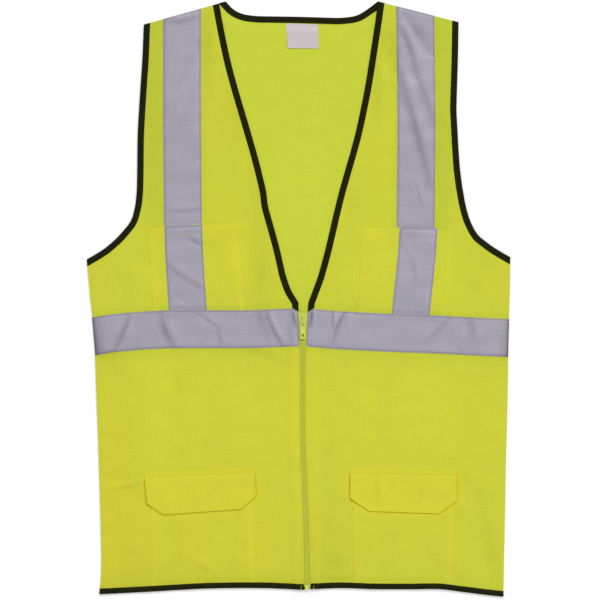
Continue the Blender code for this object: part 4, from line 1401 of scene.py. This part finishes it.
for side in ("right", "left"):
    name = f"zip_tape_{side}"
    outline = joined(sides_of(name))
    print(name, lay(name, outline, zip_tape_height, WALL, 3.0, middle_line=zip_line))


# %% Plastic for the teeth
def plastic(name, colour, roughness):
    """Moulded plastic: slightly uneven, and paler where it is rubbed."""
    material = bpy.data.materials.new(name)
    material.use_nodes = True
    tree = material.node_tree
    shader = tree.nodes["Principled BSDF"]
    where = node(tree, "ShaderNodeTexCoord").outputs["Object"]
    grainy = {"Vector": where, "Scale": 900.0, "Detail": 3.0}
    noise = node(tree, "ShaderNodeTexNoise", grainy).outputs["Fac"]
    light = maths(tree, "MULTIPLY_ADD", noise, 0.24, 0.88)
    tint = node(tree, "ShaderNodeVectorMath", {0: colour, "Scale": light}, operation="SCALE")
    tree.links.new(tint.outputs[0], shader.inputs["Base Color"])
    tree.links.new(maths(tree, "MULTIPLY_ADD", noise, 0.2, roughness - 0.1), shader.inputs["Roughness"])
    bump = node(tree, "ShaderNodeBump", {"Height": noise, "Strength": 0.4, "Distance": 0.05 * MM})
    tree.links.new(bump.outputs[0], shader.inputs["Normal"])
    return material


finishes["zip_teeth"] = plastic("zip teeth plastic", (0.58, 0.62, 0.035), 0.42)
print("plastic is ready")

# %% One tooth, shaped as by hand
TOOTH_PITCH = 2.5
TOOTH_OFF = 2.25  # from the zip's middle to the middle of the block that a tooth starts from


def only(mesh_object, chosen):
    """Selects in edit mode just the faces that the test picks."""
    bpy.ops.object.mode_set(mode="OBJECT")
    for polygon in mesh_object.data.polygons:
        polygon.select = chosen(polygon)
    for edge in mesh_object.data.edges:
        edge.select = False
    for vertex in mesh_object.data.vertices:
        vertex.select = False
    for polygon in mesh_object.data.polygons:
        if polygon.select:
            for index in polygon.vertices:
                mesh_object.data.vertices[index].select = True
    bpy.ops.object.mode_set(mode="EDIT")
    bpy.ops.mesh.select_mode(type="FACE")


bpy.ops.object.select_all(action="DESELECT")
bpy.ops.mesh.primitive_cube_add(size=1)
tooth = bpy.context.object
tooth.data.transform(tooth.matrix_world)
bpy.ops.object.mode_set(mode="EDIT")
bpy.ops.mesh.select_all(action="SELECT")
bpy.ops.transform.resize(value=(1.5, 1.5, 1.3))
only(tooth, lambda polygon: polygon.normal.x > 0.9)
bpy.ops.mesh.extrude_region_move(TRANSFORM_OT_translate={"value": (0.7, 0, 0)})
bpy.ops.transform.resize(value=(1, 0.55, 0.85))
bpy.ops.mesh.extrude_region_move(TRANSFORM_OT_translate={"value": (0.5, 0, 0)})
bpy.ops.transform.resize(value=(1, 1.6, 1))
bpy.ops.mesh.extrude_region_move(TRANSFORM_OT_translate={"value": (0.7, 0, 0)})
bpy.ops.transform.resize(value=(1, 0.6, 0.8))
only(tooth, lambda polygon: polygon.normal.z > 0.9 and polygon.center.x < 0)
bpy.ops.mesh.inset(thickness=0.25, depth=0.12)
bpy.ops.object.mode_set(mode="OBJECT")
tooth_points = np.array([vertex.co for vertex in tooth.data.vertices])
tooth_faces = [tuple(polygon.vertices) for polygon in tooth.data.polygons]
bpy.data.objects.remove(tooth)
tooth_reach = round(float(np.ptp(tooth_points[:, 0])), 2)
print("a tooth has", len(tooth_faces), "faces and reaches", tooth_reach, "mm")

# %% Rows of teeth
TEETH_HEIGHT = 4.72  # middle of a tooth


def row_of_teeth(side):
    name = f"zip_chain_{side}"
    low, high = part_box(name)
    turn = {"right": 1, "left": -1}[side]
    shift = TOOTH_PITCH / 2 if side == "left" else 0.0
    points, faces = [], []
    heights = np.arange(high.y / MM - 1.0 - shift, low.y / MM + 0.8, -TOOTH_PITCH)
    for y in heights:
        base = len(points) * len(tooth_points)
        centre_x = zip_x(y) - turn * TOOTH_OFF
        points.append(tooth_points * (turn, turn, 1) + (centre_x, y, TEETH_HEIGHT))
        faces += [tuple(base + i for i in face) for face in tooth_faces]
    piece = add_mesh(f"{name}_teeth", np.concatenate(points), faces, finishes["zip_teeth"])
    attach(piece, "vest")
    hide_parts(name)
    return len(heights)


for side in ("right", "left"):
    print(side, "teeth:", row_of_teeth(side))

# %% [markdown]
# ## Stitching
#
# Every seam is a row of short stitches, about nine to the inch, and each dips into the cloth at both ends.
# One stitch is a small bead with rings of four points, which is enough at its size. All the stitches of one
# thread on one side of the zip are one mesh. They follow the cloth below them, so no stitch floats.

# %% Threads
finishes["yellow thread"] = plastic("yellow thread", (0.62, 0.63, 0.045), 0.6)
finishes["grey thread"] = plastic("grey thread", (0.19, 0.18, 0.22), 0.6)
finishes["black thread"] = plastic("black thread", (0.012, 0.012, 0.010), 0.55)
finishes["white thread"] = plastic("white thread", (0.74, 0.72, 0.74), 0.6)
finishes["lime thread"] = plastic("lime thread", (0.60, 0.80, 0.16), 0.5)
STITCH_PITCH, STITCH_LENGTH, STITCH_RADIUS = 2.8, 2.3, 0.17
# along the stitch in shares of its length, across in shares of its radius, and height above the cloth
BEAD = ((-0.5, 0.0, -0.06), (-0.3, 1.0, 0.05), (0.0, 1.0, 0.10), (0.3, 1.0, 0.05), (0.5, 0.0, -0.06))
BEAD_POINTS = 14  # two tips and three rings of four
print("a stitch has", BEAD_POINTS, "points and 24 triangles")


# %% Sewing a row
def bead_faces():
    """The faces of one stitch: its two tips and three rings of four points."""
    faces = []
    for k in range(4):
        after = (k + 1) % 4
        faces += [(0, 1 + after, 1 + k), (13, 9 + k, 9 + after)]
        faces += [(1 + k, 1 + after, 5 + after, 5 + k), (5 + k, 5 + after, 9 + after, 9 + k)]
    return faces


def sew(name, runs, thread, slot, pitch=STITCH_PITCH, length=STITCH_LENGTH, radius=STITCH_RADIUS):
    """Rows of stitches. A run is a line seen from above, with the height of the cloth along it."""
    beads = []
    for line, top in runs:
        spots = even(line, step=pitch)
        middles, ways = (spots[1:] + spots[:-1]) / 2, np.diff(spots, axis=0)
        ways /= np.linalg.norm(ways, axis=1)[:, None]
        across = np.column_stack([-ways[:, 1], ways[:, 0], np.zeros(len(ways))])
        up = np.array([0, 0, 1.0])
        rings = []
        for share, wide, above in BEAD:
            at = middles + ways * share * length
            centre = np.column_stack([at, top(at) + above * radius / STITCH_RADIUS])
            offsets = (across, up, -across, -up) if wide else (0 * across,)
            rings += [centre + radius * wide * offset for offset in offsets]
        beads.append(np.stack(rings, axis=1))
    beads = np.concatenate(beads)
    template = bead_faces()
    if signed_volume(beads[0] - beads[0].mean(0), template) < 0:
        template = [face[::-1] for face in template]
    count = len(beads)
    faces = [tuple(BEAD_POINTS * i + k for k in face) for i in range(count) for face in template]
    piece = add_mesh(name, beads.reshape(-1, 3), faces, finishes[thread])
    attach(piece, "vest")
    return count


def surface(*names):
    """The height of the uppermost of these sheets. They are named from the bottom up."""
    def height(points):
        found = tops[names[0]](points)
        for name in names[1:]:
            found = np.where(inside(points, cuts[name]), tops[name](points), found)
        return found

    return height


def inset(side, depth=0.0):
    """A row inside an edge, a little short of its corners."""
    return even(moved(side, depth), step=1.5)[1:-1]


def uncovered(line, name):
    """The parts of a row that a sheet does not cover."""
    free = ~inside(line, cuts[name])
    breaks = np.flatnonzero(np.diff(free.astype(int))) + 1
    parts = zip(np.split(line, breaks), np.split(free, breaks))
    return [part for part, is_free in parts if is_free[0] and len(part) > 3]


print("ready to sew")

# %% Rows on the tapes and the belt
EDGE_ROW = 1.4
for side in ("right", "left"):
    runs = []
    for name in (f"shoulder_tape_{side}", f"pocket_tape_{side}"):
        others = order(sides_of(name))[2]
        runs += [(inset(line, EDGE_ROW), surface(name)) for line in others]
    name = f"belt_tape_{side}"
    runs += [(inset(line, EDGE_ROW), surface(name)) for line in long_sides(name)]
    print(side, sew(f"tape_stitches_{side}", runs, "grey thread", "reflective_tape"))

# %% Rows on the pockets, flaps and turned edges
FACING_ROWS = {"right": (-12.0, -17.3), "left": (15.0,)}  # from the zip's middle
FLAP_EDGE_ROW = 2.6
BELOW_BELT, ABOVE_HEM = -80, -380
for side in ("right", "left"):
    chest = surface(f"chest_pocket_{side}", f"pocket_tape_{side}")
    pieces = ("hip_pocket", "pocket_flap", "front_panel")
    hip, flap, front = (surface(f"{piece}_{side}") for piece in pieces)
    pocket = [inset(line) for line in chest_rows[side]]
    if side == "left":  # here the tape was sewn on after the rows
        pocket = [part for line in pocket for part in uncovered(line, "pocket_tape_left")]
    runs = [(line, chest) for line in pocket]
    runs += [(inset(line), hip) for line in hip_rows[side]]
    runs += [(inset(line), flap) for line in flap_rows[side]]
    runs += [(inset(line, FLAP_EDGE_ROW), flap) for line in flap_sides(side)[1] if len(line) > 4]
    rows = zip_line[(zip_line[:, 1] < BELOW_BELT) & (zip_line[:, 1] > ABOVE_HEM)]
    runs += [(rows + (off, 0), front) for off in FACING_ROWS[side]]
    print(side, sew(f"knit_stitches_{side}", runs, "yellow thread", "knit"))

# %% Rows on the bindings, the label and the pen pocket, and tacks
for side in ("right", "left"):
    runs = [bound[name] for name in bound if name.endswith(side)]
    print(side, sew(f"binding_stitches_{side}", runs, "black thread", "binding"))
runs = [bound[name] for name in ("neck_binding_back", "hem_binding_back")]
print("back", sew("binding_stitches_back", runs, "black thread", "binding"))
label_top = by_height(sides_of("neck_label"))[-1]
runs = [(inset(label_top, 1.3), surface("neck_label"))]
print("label", sew("label_stitches", runs, "white thread", "label"))
runs = [(np.array([(155.4, 92.0), (155.2, 13.0)]), surface("pocket_tape_left"))]
print("pen pocket", sew("pen_stitches", runs, "grey thread", "reflective_tape"))
tack = np.array([(-146.0, 100.3), (-137.0, 100.7), (-128.6, 101.2)])
runs = [(tack, surface("front_panel_right", "shoulder_tape_right"))]
coarse = {"pitch": 2.0, "length": 2.6, "radius": 0.5}
print("loose tack", sew("mouth_tack", runs, "lime thread", "knit", **coarse))


def on_hem(points):
    return 4.45 + lift(points)


runs = [(np.array([(x - 0.9, -391.5), (x + 0.9, -385.0)]), on_hem) for x in (3.4, 20.2)]
coarse = {"pitch": 1.6, "length": 2.0, "radius": 0.35}
print("hem tacks", sew("hem_tacks", runs, "yellow thread", "binding", **coarse))

# %% [markdown]
# ## Slider, tab and stop
#
# These are enamelled metal and moulded plastic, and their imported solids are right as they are. They only get
# a paint that is slightly rubbed.

# %% Paint
finishes["zip_paint"] = plastic("zip enamel", (0.57, 0.63, 0.08), 0.32)
for name in ("zip_slider", "zip_pull_tab", "zip_bottom_stop"):
    packed = frame["nodes"][name]
    for spot in packed.material_slots:
        spot.material = finishes["zip_paint"]
    print(name, "slots:", len(packed.material_slots))
